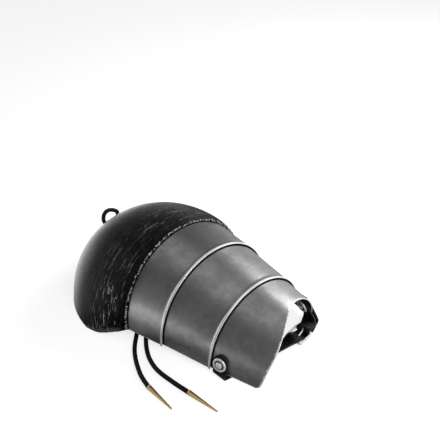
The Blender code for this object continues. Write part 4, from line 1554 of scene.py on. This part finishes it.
@dataclass
class Straps:
    """The arm strap and the buckle's tab, with their cut edges."""

    finishes: Finishes
    rounding: float = 0.00032

    def dress(self, node: str, thickness: float) -> Object:
        """Make a strip of leather from its plain solid.

        Args:
            node: The CAD node.
            thickness: The leather's thickness.

        Returns:
            The strip, with the attribute cut on its cut edges.
        """
        bm = bmesh.new()
        bm.from_mesh(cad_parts[node].data)
        bmesh.ops.remove_doubles(bm, verts=bm.verts, dist=0.000002)
        bmesh.ops.recalc_face_normals(bm, faces=bm.faces)
        tree = BVHTree.FromBMesh(bm)
        layer = bm.faces.layers.float.new("cut")
        for face in bm.faces:
            centre = face.calc_center_median()
            _, _, _, distance = tree.ray_cast(centre - face.normal * 0.00005, -face.normal)
            face[layer] = 0.0 if distance is not None and distance < thickness * 1.25 else 1.0
        bmesh.ops.join_triangles(bm, faces=bm.faces, angle_face_threshold=0.3, angle_shape_threshold=0.7)
        piece = add_piece(node + "_leather", take_mesh(node + "_leather", bm), self.finishes.strap)
        round_edges(piece, self.rounding, 2, 45.0)
        shade(piece.data, 50.0)
        return piece

    def build(self) -> None:
        """Build both strips."""
        join_body(self.dress("arm_strap", 0.0020), ["arm_strap"])
        join_body(self.dress("buckle_tab", 0.0016), ["buckle_tab"])


@dataclass
class Buckle:
    """The wire buckle and its pin."""

    finishes: Finishes
    wire: float = 0.0024
    length: float = 0.0180
    strap_width: float = 0.0160
    tab_thickness: float = 0.0016
    strap_thickness: float = 0.0020
    centre: tuple[float, float] = (0.1385, 0.0275)
    pin_radius: float = 0.00085

    def bars(self) -> tuple[np.ndarray, np.ndarray]:
        """Place the front bar and the bar that the tab holds.

        Returns:
            The centres of both bars.
        """
        x, y = self.centre
        end_z = self.strap_thickness + 0.00005 + CLEARANCE + self.tab_thickness + CLEARANCE + self.wire / 2
        front = np.array((x, y - self.length / 2, self.wire / 2 + self.strap_thickness)) + STAND
        return front, np.array((x, y + self.length / 2, end_z)) + STAND

    def tube(self, name: str, points: Rows, radii: Sequence[float], closed: bool,
             node: str) -> None:
        """Draw one round wire.

        Args:
            name: The piece's name.
            points: The points it follows.
            radii: Its radius at each point.
            closed: Whether it is a ring.
            node: The CAD node it stands for.
        """
        curve = bpy.data.curves.new(name, "CURVE")
        curve.dimensions = "3D"
        curve.bevel_depth = 1.0
        curve.bevel_resolution = 6
        curve.use_fill_caps = not closed
        spline = curve.splines.new("POLY")
        spline.points.add(len(points) - 1)
        spline.use_cyclic_u = closed
        for target, point, radius in zip(spline.points, points, radii):
            target.co = (*point, 1.0)
            target.radius = radius
        source = bpy.data.objects.new(name + "_line", curve)
        mesh = bpy.data.meshes.new_from_object(source)
        bpy.data.objects.remove(source)
        bm = bmesh.new()
        bm.from_mesh(mesh)
        bmesh.ops.remove_doubles(bm, verts=bm.verts, dist=0.000002)
        bmesh.ops.recalc_face_normals(bm, faces=bm.faces)
        bm.to_mesh(mesh)
        bm.free()
        shade(mesh, 50.0)
        store(mesh, "hollow", np.zeros(len(mesh.vertices)))
        join_body(add_piece(name, mesh, self.finishes.nickel), [node])

    def build(self) -> None:
        """Build the frame and the pin."""
        front, end = self.bars()
        half = self.strap_width / 2 + 0.0006 + self.wire / 2
        corner = self.wire / 2 + 0.0002
        middle, reach = (front + end) / 2, self.length / 2
        rise = (end[2] - front[2]) / self.length
        outline = []
        wide, tall = half - corner, reach - corner
        for cx, cy, start in ((wide, tall, 0), (-wide, tall, 90), (-wide, -tall, 180), (wide, -tall, 270)):
            for turn in range(0, 91, 15):
                angle = math.radians(start + turn)
                x, y = cx + corner * math.cos(angle), cy + corner * math.sin(angle)
                outline.append((middle[0] + x, middle[1] + y, middle[2] + y * rise))
        self.tube("buckle_ring", outline, [self.wire / 2] * len(outline), True, "buckle_frame")

        radius = self.pin_radius
        side = end[1] - self.wire / 2 - CLEARANCE - radius
        low = radius + 0.0001 + STAND[2]
        mid = self.centre[1]
        line = smooth_curve([(end[0], y, z) for y, z in (
            (side, end[2] + 0.0004), (side - 0.0030, end[2] - 0.0008), (mid + 0.0015, 0.0037 + STAND[2]),
            (mid - 0.0035, 0.0016 + STAND[2]), (front[1] + 0.0010, low), (front[1] - 0.0030, low))], 6)
        share = np.linspace(0.0, 1.0, len(line))
        self.tube("buckle_pin", line.tolist(), (radius * (1.0 - 0.35 * share ** 3)).tolist(), False,
                  "buckle_tongue")


@dataclass
class Fasteners:
    """The two rivets with their cupped washers."""

    finishes: Finishes
    washer_radius: float = 0.0075
    washer_height: float = 0.0014
    stem_hole: float = 0.0021
    stem_radius: float = 0.0018
    head_radius: float = 0.0038
    foot_radius: float = 0.0034
    head_base: float = 0.0007
    inner_sizes: dict[Side, float] = field(default_factory=lambda: {Side.NEAR: 0.75, Side.FAR: 1.0})
    steps: int = 56

    def washer(self) -> Mesh:
        """Turn a cupped washer: a raised round rim about a sunk floor.

        Returns:
            Its mesh.
        """
        r, h = self.washer_radius, self.washer_height
        # Painted shade: dark on the sunk floor and round the stem, partly on the rim's inner wall and
        # underside
        rows = [(self.stem_hole, 0.0, 1.0), (self.stem_hole, h * 0.36, 1.0), (r * 0.56, h * 0.34, 1.0),
                (r * 0.64, h * 0.40, 1.0), (r * 0.69, h * 0.75, 0.6), (r * 0.73, h * 1.05, 0.0),
                (r * 0.79, h * 1.25, 0.0), (r * 0.86, h * 1.26, 0.0), (r * 0.93, h * 1.02, 0.0),
                (r * 0.98, h * 0.62, 0.0), (r, h * 0.22, 0.15), (r * 0.99, 0.0, 0.6)]
        return turned_mesh("cupped_washer", rows, self.steps)

    def head(self) -> Mesh:
        """Turn a domed rivet head of unit radius and height, with a dimple.

        Returns:
            Its mesh.
        """
        # Painted shade: the head darkens towards the dome's edge and slightly in its dimple
        rows = [(0.0, 0.0, 0.9), (0.90, 0.0, 1.0), (0.985, 0.10, 0.9), (1.0, 0.24, 0.7),
                (0.965, 0.42, 0.45), (0.88, 0.60, 0.25), (0.74, 0.78, 0.10), (0.56, 0.91, 0.0),
                (0.36, 0.985, 0.0), (0.22, 1.0, 0.0), (0.12, 0.975, 0.15), (0.0, 0.955, 0.3)]
        return turned_mesh("domed_head", rows, self.steps)

    def stem(self) -> Mesh:
        """Return a stem of unit radius and height."""
        outline = ((0.0, 0.0), (1.0, 0.0), (1.0, 1.0), (0.0, 1.0))
        return turned_mesh("stem", [(*corner, 0.3) for corner in outline], self.steps // 2)

    def seat(self, node: str) -> tuple[np.ndarray, np.ndarray]:
        """Return the middle of a washer's underside, and its axis away from the leather or wall.

        Args:
            node: The washer's CAD node.

        Returns:
            The point and the unit axis.
        """
        points = node_points(node)
        centre = (points.min(axis=0) + points.max(axis=0)) / 2
        axis = np.linalg.svd(points - points.mean(axis=0), full_matrices=False)[2][2]
        side = -1.0 if node.startswith("near") else 1.0
        outward = side if "outer" in node else -side
        axis = axis * np.sign(axis[1]) * outward
        depth = (points - centre) @ axis
        return centre + axis * depth.min(), axis

    def place(self, name: str, mesh: Mesh, rows: Sequence[tuple[np.ndarray, np.ndarray, tuple]],
              recipe: Recipe) -> Object:
        """Set copies of a turned part.

        Args:
            name: The piece's name.
            mesh: The turned part.
            rows: Place, axis and size of each copy.
            recipe: The tree that sets them.

        Returns:
            The copies as one piece.
        """
        part = link(name + "_part", mesh)
        points = bpy.data.meshes.new(name)
        points.from_pydata([tuple(place) for place, _, _ in rows], [], [])
        for key, column in (("axis", 1), ("size", 2)):
            values = np.array([row[column] for row in rows], np.float32)
            points.attributes.new(key, "FLOAT_VECTOR", "POINT").data.foreach_set("vector", values.ravel())
        piece = link(name, points)
        recipe.make(piece, {"Part": part, "Material": self.finishes.nickel})
        bpy.data.objects.remove(part)
        shade(piece.data, 38.0)
        return piece

    def build(self) -> None:
        """Build the washers and the rivets on both sides."""
        recipe = fastener_recipe()
        base = self.head_base
        for side in Side:
            key = side.name.lower()
            outer, axis = self.seat(key + "_outer_washer")
            inner, inner_axis = self.seat(key + "_inner_washer")
            size = self.inner_sizes[side]
            washers = self.place(key + "_washers", self.washer(), [
                (outer, axis, (1.0, 1.0, 1.0)), (inner, inner_axis, (size, size, 1.0))], recipe)
            join_body(washers, [key + "_outer_washer", key + "_inner_washer"])
            rivet = node_points(key + "_rivet")
            heads = self.place(key + "_rivet_heads", self.head(), [
                (seat + out * base, out, (radius, radius, float(((rivet - seat) @ out).max()) - used))
                for seat, out, radius, used in ((outer, axis, self.head_radius, 2 * base),
                                                (inner, inner_axis, self.foot_radius, base))], recipe)
            join_body(heads, [key + "_rivet"])
            stem = self.place(key + "_rivet_stem", self.stem(), [
                (inner, axis, (self.stem_radius, self.stem_radius, float(np.linalg.norm(outer - inner))))],
                recipe)
            join_body(stem)


def main() -> None:
    """Build the studio and every sub-assembly."""
    logging.basicConfig(level=logging.INFO, format="%(name)s: %(message)s")
    Studio().build()
    finishes = Finishes.build()
    Lace(finishes).build()
    LeatherCap(finishes).build()
    Lames(finishes).build()
    Straps(finishes).build()
    Buckle(finishes).build()
    Fasteners(finishes).build()
    LOG.info("built")


if __name__ == "__main__":
    main()
